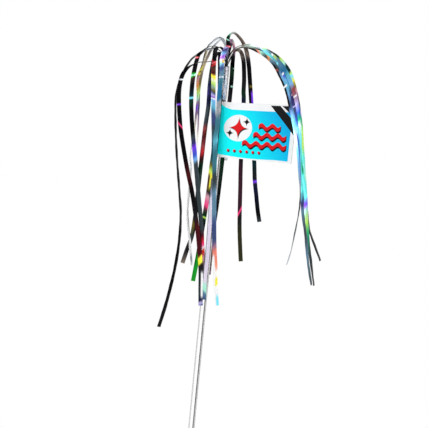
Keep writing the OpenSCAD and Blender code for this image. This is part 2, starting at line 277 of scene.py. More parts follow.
@dataclass(frozen=True)
class Streamer:
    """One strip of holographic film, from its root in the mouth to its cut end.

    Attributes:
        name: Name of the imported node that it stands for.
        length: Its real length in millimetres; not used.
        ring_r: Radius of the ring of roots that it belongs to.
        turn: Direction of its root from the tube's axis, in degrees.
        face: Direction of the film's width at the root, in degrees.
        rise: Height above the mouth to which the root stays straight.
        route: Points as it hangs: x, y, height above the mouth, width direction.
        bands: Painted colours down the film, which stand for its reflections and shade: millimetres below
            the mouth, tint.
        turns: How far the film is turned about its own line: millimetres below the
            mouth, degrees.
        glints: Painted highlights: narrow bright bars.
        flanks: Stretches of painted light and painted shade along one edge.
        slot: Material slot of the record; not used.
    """

    name: str
    length: float
    ring_r: float
    turn: float
    face: float
    rise: float
    route: list[tuple[float, float, float, float]]
    bands: list[tuple[float, Tint]]
    glints: list[Glint] = field(default_factory=list)
    flanks: list[Flank] = field(default_factory=list)
    turns: list[tuple[float, float]] = field(default_factory=lambda: [(0, 0)])
    slot: str = "film_dark"

    spacing = 0.8
    across_points = 9
    cup = 0.28
    ripple = 0.12
    ripple_length = 27.0

    def line(self) -> np.ndarray:
        """The smooth route at an even spacing.

        A Catmull-Rom curve runs through the root, the lean out of the mouth and the
        listed points, and is then sampled again by its running length.

        Returns:
            Array of rows x, y, z, width direction, running length.
        """
        turn = math.radians(self.turn)
        ray = np.array([math.cos(turn), math.sin(turn)]) * self.ring_r
        lean = ray * LEAN_SHARE
        points = np.array([
            (*ray, -ROOT_SETBACK, self.face), (*lean, self.rise, self.face), *self.route,
        ])
        padded = np.concatenate([points[:1], points, points[-1:]])
        a, b, c, d = padded[:-3, None], padded[1:-2, None], padded[2:-1, None], padded[3:, None]
        t = np.linspace(0, 1, 40, endpoint=False)[None, :, None]
        curve = 0.5 * (
            2 * b + (c - a) * t + (2 * a - 5 * b + 4 * c - d) * t**2
            + (3 * b - a - 3 * c + d) * t**3
        )
        curve = np.concatenate([curve.reshape(-1, 4), points[-1:]])
        steps = np.linalg.norm(np.diff(curve[:, :3], axis=0), axis=1)
        run = np.concatenate([[0], np.cumsum(steps)])
        even = np.linspace(0, run[-1], int(run[-1] / self.spacing))
        rows = np.stack([np.interp(even, run, curve[:, k]) for k in range(4)], 1)
        rows[:, 2] += TUBE_LENGTH
        return np.concatenate([rows, even[:, None]], 1)

    def drops(self, line: np.ndarray) -> np.ndarray:
        """Place of each row as millimetres below the mouth.

        On the way up to the crest it is the height mirrored about the crest, so the
        place always grows along the film.
        """
        height = line[:, 2] - TUBE_LENGTH
        crest = int(height.argmax())
        before = np.arange(len(height)) < crest
        return np.where(before, height - 2 * height[crest], -height)

    def frames(self, line: np.ndarray) -> tuple[np.ndarray, np.ndarray]:
        """Width and face directions along the film.

        The width direction is the level direction of the row, less its part along
        the film, brought to unit length. The face direction is at right angles to
        both. Both are then turned about the film by its turns.

        Args:
            line: Rows from line().

        Returns:
            Two arrays of unit vectors, across and face.
        """
        along = np.gradient(line[:, :3], axis=0)
        along /= np.linalg.norm(along, axis=1, keepdims=True)
        angle = np.radians(line[:, 3])
        level = np.stack([np.cos(angle), np.sin(angle), np.zeros_like(angle)], 1)
        across = level - along * (level * along).sum(1, keepdims=True)
        across /= np.linalg.norm(across, axis=1, keepdims=True)
        face = np.cross(along, across)
        places, degrees = np.array(self.turns, float).T
        turn = np.radians(np.interp(self.drops(line), places, degrees))[:, None]
        return across * np.cos(turn) + face * np.sin(turn), face * np.cos(turn) - across * np.sin(turn)

    def build(self, material: bpy.types.Material, seed: int) -> bpy.types.Object:
        """Each cross-section is a thin closed loop. Its middle lies at the width times
        s across, for s from -1/2 to 1/2, bowed by the cup times 1/3 less 4s squared
        and rippled by a sine of the running length that grows towards one edge.

        Args:
            material: Finish of the film.
            seed: Sets the phase of the ripple.

        Returns:
            The film, riding on the wand.
        """
        line = self.line()
        across, face = self.frames(line)
        run = line[:, 4]
        open_share = ease(run / OPENING_LENGTH)
        width = PINCH_W + (FILM_W - PINCH_W) * open_share
        s = np.linspace(-0.5, 0.5, self.across_points)
        phase = seed * 2.4
        wave = np.sin(2 * np.pi * run / self.ripple_length + phase)
        flutter = np.sin(2 * np.pi * run / (self.ripple_length * 0.37) + 2 * phase)
        bow = self.cup * (1 / 3 - 4 * s**2)[None, :] * open_share[:, None]
        bow = bow + self.ripple * open_share[:, None] * (
            wave[:, None] * 2 * s[None, :] + flutter[:, None] * (4 * s**2)[None, :] * 0.5
        )
        middle = (
            line[:, None, :3]
            + across[:, None] * (width[:, None] * s[None, :])[..., None]
            + face[:, None] * bow[..., None]
        )
        half = face[:, None] * FILM_T / 2
        rings = np.concatenate([(middle + half)[:, ::-1], middle - half], axis=1)
        mesh = loop_mesh(self.name, rings)
        side = np.broadcast_to(np.concatenate([s[::-1], s]) * 2, rings.shape[:2])
        # Painted reflections, painted highlights and painted shade of the film, stored by place.
        paint(mesh, "film", self.colours(line, side).reshape(-1, 3))
        paint(mesh, "run", np.repeat(run * MM, rings.shape[1]))
        paint(mesh, "side", side.reshape(-1).copy())
        mesh.materials.append(material)
        piece = new_object("film_" + self.name.removeprefix("streamer_"), mesh)
        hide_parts(self.name)
        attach(piece, "wand")
        log.info("%s: %.0f mm long, %d faces", piece.name, run[-1], len(mesh.polygons))
        return piece

    def colours(self, line: np.ndarray, side: np.ndarray) -> np.ndarray:
        """Colour of each point of the film.

        The painted bands of reflection and shade blend from one to the next along the film, a little bent
        across it.
        The flanks' painted light and shade and the glints' painted highlights are laid over them with soft
        edges.

        Args:
            line: Rows from line().
            side: Place across the film from -1 to 1, for each ring and point.

        Returns:
            Linear colours of shape (rings, points, 3).
        """
        drop = self.drops(line)[:, None]
        place = drop + 1.2 * side + 0.6 * np.sin(drop * 0.9 + 3 * side)
        stops = np.array([stop for stop, _ in self.bands], float)
        tints = np.array([tint.value for _, tint in self.bands], float)
        out = np.stack([np.interp(place, stops, tints[:, k]) for k in range(3)], -1)
        # Painted light and shade along one edge.
        for flank in self.flanks:
            reach = ease((drop - flank.top) / 6) * ease((flank.bottom - drop) / 6)
            inner = 1 - 2 * flank.share
            mask = reach * ease((side * flank.edge - inner) / 0.3 + 0.5)
            out += (np.array(flank.tint.value) - out) * mask[..., None]
        # Painted highlights: bright bars across the film.
        for glint in self.glints:
            gap = (drop - glint.drop + glint.slant * side) / glint.half
            inside = ease((side - glint.low) / 0.2 + 1) * ease((glint.high - side) / 0.2 + 1)
            mask = np.exp(-gap**4) * inside
            out += (np.array(glint.tint.value) - out) * mask[..., None]
        return to_linear(np.clip(out, 0, 255))


class Graph:
    """Short ways to add nodes to a material or a node group."""

    def __init__(self, tree: bpy.types.NodeTree) -> None:
        """Keep the tree that nodes go into."""
        self.tree = tree

    def node(self, kind: str, inputs: dict | None = None, **settings: object) -> bpy.types.Node:
        """Add a node.

        Args:
            kind: Blender's name of the node type.
            inputs: Values or output sockets for its inputs, by name or number.
            settings: Properties of the node.

        Returns:
            The node.
        """
        made = self.tree.nodes.new(kind)
        for key, value in settings.items():
            setattr(made, key, value)
        for key, value in (inputs or {}).items():
            if isinstance(value, bpy.types.NodeSocket):
                self.tree.links.new(value, made.inputs[key])
            else:
                made.inputs[key].default_value = value
        return made

    def math(self, operation: str, *values: object, clamp: bool = False) -> bpy.types.NodeSocket:
        """Add a Math node and return its output."""
        inputs = dict(enumerate(values))
        return self.node("ShaderNodeMath", inputs, operation=operation, use_clamp=clamp).outputs[0]

    def blend(
        self, amount: object, low: object, high: object, mode: str = "MIX"
    ) -> bpy.types.NodeSocket:
        """Mix two colours by an amount and return the result."""
        made = self.node(
            "ShaderNodeMix", {0: amount, 6: low, 7: high}, data_type="RGBA", blend_type=mode
        )
        return made.outputs[2]

    def spread(
        self, value: object, low: float, high: float, to_low: float, to_high: float
    ) -> bpy.types.NodeSocket:
        """Map a value from one range to another with a smooth step."""
        inputs = {0: value, 1: low, 2: high, 3: to_low, 4: to_high}
        made = self.node("ShaderNodeMapRange", inputs, interpolation_type="SMOOTHSTEP")
        return made.outputs[0]

    def group(self, tree: bpy.types.NodeTree, inputs: dict) -> bpy.types.Node:
        """Place a node group with its own values."""
        return self.node("ShaderNodeGroup", inputs, node_tree=tree)


def new_group(name: str, inputs: dict[str, tuple], outputs: dict[str, str]) -> bpy.types.NodeTree:
    """Start a shader node group.

    Args:
        name: Name of the group.
        inputs: For each input its socket type and its default.
        outputs: For each output its socket type.

    Returns:
        The empty group with its sockets.
    """
    tree = bpy.data.node_groups.new(name, "ShaderNodeTree")
    for key, (kind, default) in inputs.items():
        socket = tree.interface.new_socket(key, in_out="INPUT", socket_type=kind)
        if default is not None:
            socket.default_value = default
    for key, kind in outputs.items():
        tree.interface.new_socket(key, in_out="OUTPUT", socket_type=kind)
    return tree


def new_material(name: str) -> tuple[bpy.types.Material, Graph, bpy.types.Node]:
    """Start a material with its Principled BSDF.

    Args:
        name: Name of the material.

    Returns:
        The material, a Graph of its tree and the shader node.
    """
    material = bpy.data.materials.new(name)
    material.use_nodes = True
    tree = material.node_tree
    tree.nodes.clear()
    graph = Graph(tree)
    shader = graph.node("ShaderNodeBsdfPrincipled")
    graph.node("ShaderNodeOutputMaterial", {"Surface": shader.outputs[0]})
    return material, graph, shader


def film_group() -> bpy.types.NodeTree:
    """Grain of holographic film: fine cross hatching, streaks and soft creases.

    The hatching is noise drawn out across the film and the streaks are noise drawn
    out along it. Both shift the hue and the value of the tint a little, and feed
    the roughness and the height.
    """
    tree = new_group(
        "film_grain",
        {
            "Tint": ("NodeSocketColor", (0.5, 0.5, 0.5, 1)),
            "Run": ("NodeSocketFloat", 0.0),
            "Side": ("NodeSocketFloat", 0.0),
            "Hatch": ("NodeSocketFloat", 0.5),
            "Streak": ("NodeSocketFloat", 0.5),
        },
        {"Color": "NodeSocketColor", "Roughness": "NodeSocketFloat", "Height": "NodeSocketFloat"},
    )
    g = Graph(tree)
    given = g.node("NodeGroupInput").outputs
    run_mm = g.math("DIVIDE", given["Run"], MM)
    side_mm = g.math("MULTIPLY", given["Side"], FILM_W / 2)

    def noise(along: float, across: float, detail: float) -> bpy.types.NodeSocket:
        """Noise with its own scale along and across the film."""
        at = g.node(
            "ShaderNodeCombineXYZ",
            {0: g.math("MULTIPLY", run_mm, along), 1: g.math("MULTIPLY", side_mm, across)},
        )
        inputs = {"Vector": at.outputs[0], "Scale": 1.0, "Detail": detail, "Roughness": 0.55}
        return g.node("ShaderNodeTexNoise", inputs).outputs["Fac"]

    hatch = noise(1.9, 0.35, 2.0)
    streak = noise(0.035, 1.5, 3.0)
    crease = noise(0.16, 0.22, 2.0)
    hatch_off = g.math("MULTIPLY", g.math("SUBTRACT", hatch, 0.5), given["Hatch"])
    streak_off = g.math("MULTIPLY", g.math("SUBTRACT", streak, 0.5), given["Streak"])
    hue = g.math("ADD", 0.5, g.math("MULTIPLY", g.math("ADD", hatch_off, streak_off), 0.16))
    value = g.math("ADD", 1.0, g.math("ADD", hatch_off, g.math("MULTIPLY", streak_off, 1.3)))
    shifted = g.node(
        "ShaderNodeHueSaturation", {"Hue": hue, "Value": value, "Color": given["Tint"]}
    )
    rough = g.math("ADD", 0.2, g.math("MULTIPLY", hatch, 0.16), clamp=True)
    height = g.math("ADD", g.math("MULTIPLY", crease, 0.85), g.math("MULTIPLY", hatch, 0.05))
    g.node(
        "NodeGroupOutput",
        {"Color": shifted.outputs[0], "Roughness": rough, "Height": height},
    )
    return tree


@dataclass(frozen=True)
class HolographicFilm:
    """Metallised film whose colour is the painted film colour: its dark stretches are painted reflections
    of dark surroundings, its bright ones painted highlights.

    Attributes:
        name: Name of the material.
        metal: Share of the metallic reflection.
        hatch: Strength of the fine cross hatching.
        streak: Strength of the streaks along the film.
        crease: Depth of the soft creases, in millimetres.
    """

    name: str
    metal: float = 0.9
    hatch: float = 0.5
    streak: float = 0.55
    crease: float = 0.5

    def build(self, grain: bpy.types.NodeTree) -> bpy.types.Material:
        """Make the material from the shared grain group."""
        material, g, shader = new_material(self.name)
        # The film colour attribute holds the painted reflections, highlights and shade.
        tint = g.node("ShaderNodeAttribute", attribute_name="film").outputs["Color"]
        run = g.node("ShaderNodeAttribute", attribute_name="run").outputs["Fac"]
        side = g.node("ShaderNodeAttribute", attribute_name="side").outputs["Fac"]
        made = g.group(grain, {
            "Tint": tint, "Run": run, "Side": side, "Hatch": self.hatch, "Streak": self.streak,
        })
        bump = g.node("ShaderNodeBump", {
            "Strength": 0.5, "Distance": self.crease * MM, "Height": made.outputs["Height"],
        })
        g.tree.links.new(made.outputs["Color"], shader.inputs["Base Color"])
        g.tree.links.new(made.outputs["Roughness"], shader.inputs["Roughness"])
        g.tree.links.new(bump.outputs[0], shader.inputs["Normal"])
        shader.inputs["Metallic"].default_value = self.metal
        shader.inputs["Specular IOR Level"].default_value = 0.2
        return material


# Routes of the streamers as they hang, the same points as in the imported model:
# x, y, height above the mouth, direction of the film's width in degrees
ROUTES = {
    "far_left": [
        (-4, 1.5, 11.5, 90), (-12, 1.5, 15.8, 90), (-20, 1.5, 14, 90), (-28, 1.5, 9.5, 90),
        (-36, 1, 1, 90), (-43, 0, -15, 90), (-46, 0, -31, 88), (-45.5, 0, -48, 85), (-41, 0, -86, 85),
        (-34, 0, -129, 85), (-31, 0, -149, 85), (-30, -1, -176, 82), (-32, -2, -206, 80),
        (-37, -3, -239, 80), (-42.5, -4, -265, 80),
    ],
    "low_left": [
        (-8, -5.5, 4, 105), (-18, -8.5, 1, 100), (-28, -9, -1, 80), (-38, -8.5, -8, 45),
        (-42.5, -8, -18, 15), (-43, -8, -34, 10), (-40, -8, -57, 0), (-36.5, -8, -74, 0),
        (-29, -8, -102, 0), (-21, -9, -128, 0), (-13, -12, -161, 0), (-8, -14, -187, 0),
        (-5.5, -15, -204, 0), (-4, -14, -222, 0), (-2.5, -13, -237, 0),
    ],
    "left_front": [
        (-4.5, -1.8, 14.5, 95), (-13, -3.4, 17.3, 95), (-19.7, -4.5, 15.2, 90), (-25, -5, 9.8, 60),
        (-28.5, -5, 4.5, 30), (-31, -6, -14, 5), (-31, -6, -34, 0), (-29, -7, -52, 0),
        (-26, -7, -70, 0), (-21.5, -8, -93, 0), (-15, -8, -128, 0), (-9, -9, -160, 0),
        (-7, -9, -175, 0), (-3.5, -9, -198, 0), (-2.5, -9, -206, 0),
    ],
    "pale_outer": [
        (-4.5, 1.5, 22, 95), (-9, 1.5, 26.5, 95), (-15, 1.5, 22.5, 90), (-20, 2, 15.5, 85),
        (-23, 3, -1, 70), (-26.5, 3, -14, 60), (-25, 3, -33, 60), (-25, 2, -60, 65),
        (-26.5, 1, -90, 65), (-25, 0, -105, 60), (-24, -2, -149, 60), (-19, -3, -177, 60),
        (-15, -4, -199, 60),
    ],
    "pale_inner": [
        (-0.8, 2.6, 10, 145), (-2.8, 4.6, 20, 95), (-6, 6, 26.5, 90), (-11, 8, 23, 90),
        (-17, 9, 14, 85), (-22, 9, -1, 70), (-24, 8, -14, 60), (-24, 7.5, -33, 60), (-22, 7, -60, 70),
        (-21, 7, -90, 80), (-19, 7, -120, 80),
    ],
    "front_left": [
        (-4, -4.5, 13.5, 140), (-8.5, -8, 16.5, 145), (-11.5, -10, 13.5, 165), (-12, -11, 8, 180),
        (-12, -11, -2, 180), (-11, -11, -15, 180), (-9.5, -10, -33, 180), (-7, -9.5, -56, 180),
        (-4.5, -9.5, -81, 180), (-5, -9, -100, 180), (-5.5, -7, -120, 180), (-7, -5, -145, 180),
        (-10, -4, -188, 180), (-12.5, -4, -215, 180),
    ],
    "back_left": [
        (-5, 5.5, 11, 50), (-9, 8.5, 13.5, 45), (-12.5, 9.5, 8, 20), (-14, 9, -5, 5),
        (-14.5, 8, -20, 0), (-14, 7, -40, 0), (-15, 6, -60, 0), (-15.5, 5, -82, 0), (-16, 4, -110, 0),
        (-16.5, 3, -148, 0), (-18, 3, -170, 0), (-22, 3, -186, 0), (-25, 3, -199, 0),
    ],
    "front_centre": [
        (-1, -5, 15.5, 0), (-1.7, -8, 17, 0), (-2.7, -12, 13, 0), (-4.5, -14, 4, 0), (-3.7, -14, -9, 0),
        (-4, -14, -29, 0), (-3, -13.5, -57, 0), (-3.5, -13, -72, 0), (-2, -13, -98, 0),
        (0, -14, -122, 0), (3, -15, -154, 0), (5.5, -15, -177, 0), (8.5, -15, -198, 0),
        (10, -15, -213, 0), (13.5, -15, -235, 0),
    ],
    "front_tube": [
        (-4.2, -3.8, 9, 150), (-6.5, -6, 12, 165), (-7, -8, 10, 180), (-6.5, -8.5, 4, 180),
        (-5, -8, -12, 180), (-3, -7, -40, 180), (-2.5, -6.5, -80, 180), (-2, -8, -110, 180),
        (-2, -10, -132, 180), (-1.5, -11, -150, 180), (-1, -12, -168, 180), (-0.8, -12, -187, 180),
        (-0.8, -12, -208, 180), (0.3, -12, -231, 180),
    ],
    "back_tube": [
        (1.6, 5.5, 22, 160), (1.8, 8.5, 27.8, 150), (5.5, 11, 22.5, 125), (6.5, 11, 16, 130),
        (6, 10, 5, 165), (6.5, 9, -11, 180), (6.5, 9, -35, 180), (5.5, 9, -70, 180), (5, 8, -98, 180),
        (4, 8, -137, 180), (2, 8, -173, 180), (2.5, 8, -188, 180), (2.5, 8, -209, 180),
    ],
    "back_right": [
        (5, 4, 13, 115), (9, 7, 17.5, 115), (13, 9, 16.5, 120), (16, 10, 10, 150), (17.5, 11, 3, 170),
        (19, 11, -10, 180), (19.7, 12, -22, 180), (21, 12, -35, 180), (24, 12, -92, 180),
        (26, 12, -118, 180), (29, 12, -156, 180), (32.5, 12, -183, 180), (34, 12, -193, 180),
    ],
    "tall_loop": [
        (0, 1.8, 20, 0), (-1, 3, 27, 35), (2, 4, 32.5, 90), (6, 5, 33, 100), (12, 6, 28, 110),
        (17, 8, 21, 130), (20, 9, 13, 150), (22.5, 10, 3, 170), (25, 12, -11, 180), (29, 13, -35, 180),
        (33, 14, -60, 180), (37.5, 15, -90, 180), (40, 15, -109, 180), (43, 15, -124, 180),
        (46, 15, -139, 180), (49, 15, -151, 180),
    ],
    "right_inner": [
        (7, -7.5, 14.5, 50), (15.5, -14, 17.5, 52), (25.5, -22, 14.8, 52), (35.5, -30, 8.8, 52),
        (44, -39, 0.5, 50), (50, -46, -10, 48), (56, -53, -22, 46), (60.5, -60, -37, 42),
        (65.5, -63, -54, 40), (71.5, -64.5, -78, 40), (75, -65, -98, 55), (77.5, -65, -115, 75),
        (78, -65, -130, 80), (76.5, -65, -149, 80), (74.5, -65, -168, 80), (72, -65, -180, 80),
    ],
    "right_mid": [
        (2, -2.2, 11, 45), (8, -6.5, 16.5, 52), (17, -12.8, 18.7, 52), (27, -20, 16.8, 52),
        (37, -27.5, 11, 52), (45.5, -35.5, 2.5, 50), (52.5, -43.5, -8, 48), (58, -50.5, -20, 46),
        (63.5, -56.5, -36, 42), (68, -60, -54, 40), (73, -61.5, -80, 40), (76.5, -61, -100, 50),
        (80, -60.5, -118, 65), (82, -61, -132, 80), (87, -61, -153, 80), (91.5, -61, -176, 80),
        (97, -61, -197, 80),
    ],
    "right_near": [
        (8, -4, 15.2, 56), (17.5, -10, 20, 54), (28, -17, 18, 52), (38.5, -25, 12.5, 52),
        (47.5, -33.5, 4.8, 50), (55, -42, -5.5, 48), (61.2, -49.4, -18.5, 46), (67.2, -54.5, -35.5, 42),
        (71, -55.8, -53, 40), (74.5, -57, -79, 40), (78, -57.5, -97, 40), (82.3, -57, -113, 50),
        (85.5, -56.5, -131, 70), (90, -57, -156, 80), (94.5, -57, -175, 80), (100, -57, -198, 80),
    ],
    "right_outer": [
        (6.5, -1.5, 17.5, 56), (16.5, -7, 21.2, 54), (28.5, -14.5, 19.3, 52), (39.5, -22, 14, 52),
        (50, -30.5, 6.2, 50), (58, -38.3, -4.3, 48), (63.5, -45.5, -18, 46), (68.5, -50.5, -35, 42),
        (72.5, -53, -53, 40), (77, -54, -78, 40), (80.5, -54, -97, 40), (83.5, -53.5, -115, 50),
        (86.5, -53, -132, 60), (90.6, -52.4, -147, 75), (96, -53, -159, 80), (104, -53, -175, 80),
    ],
}

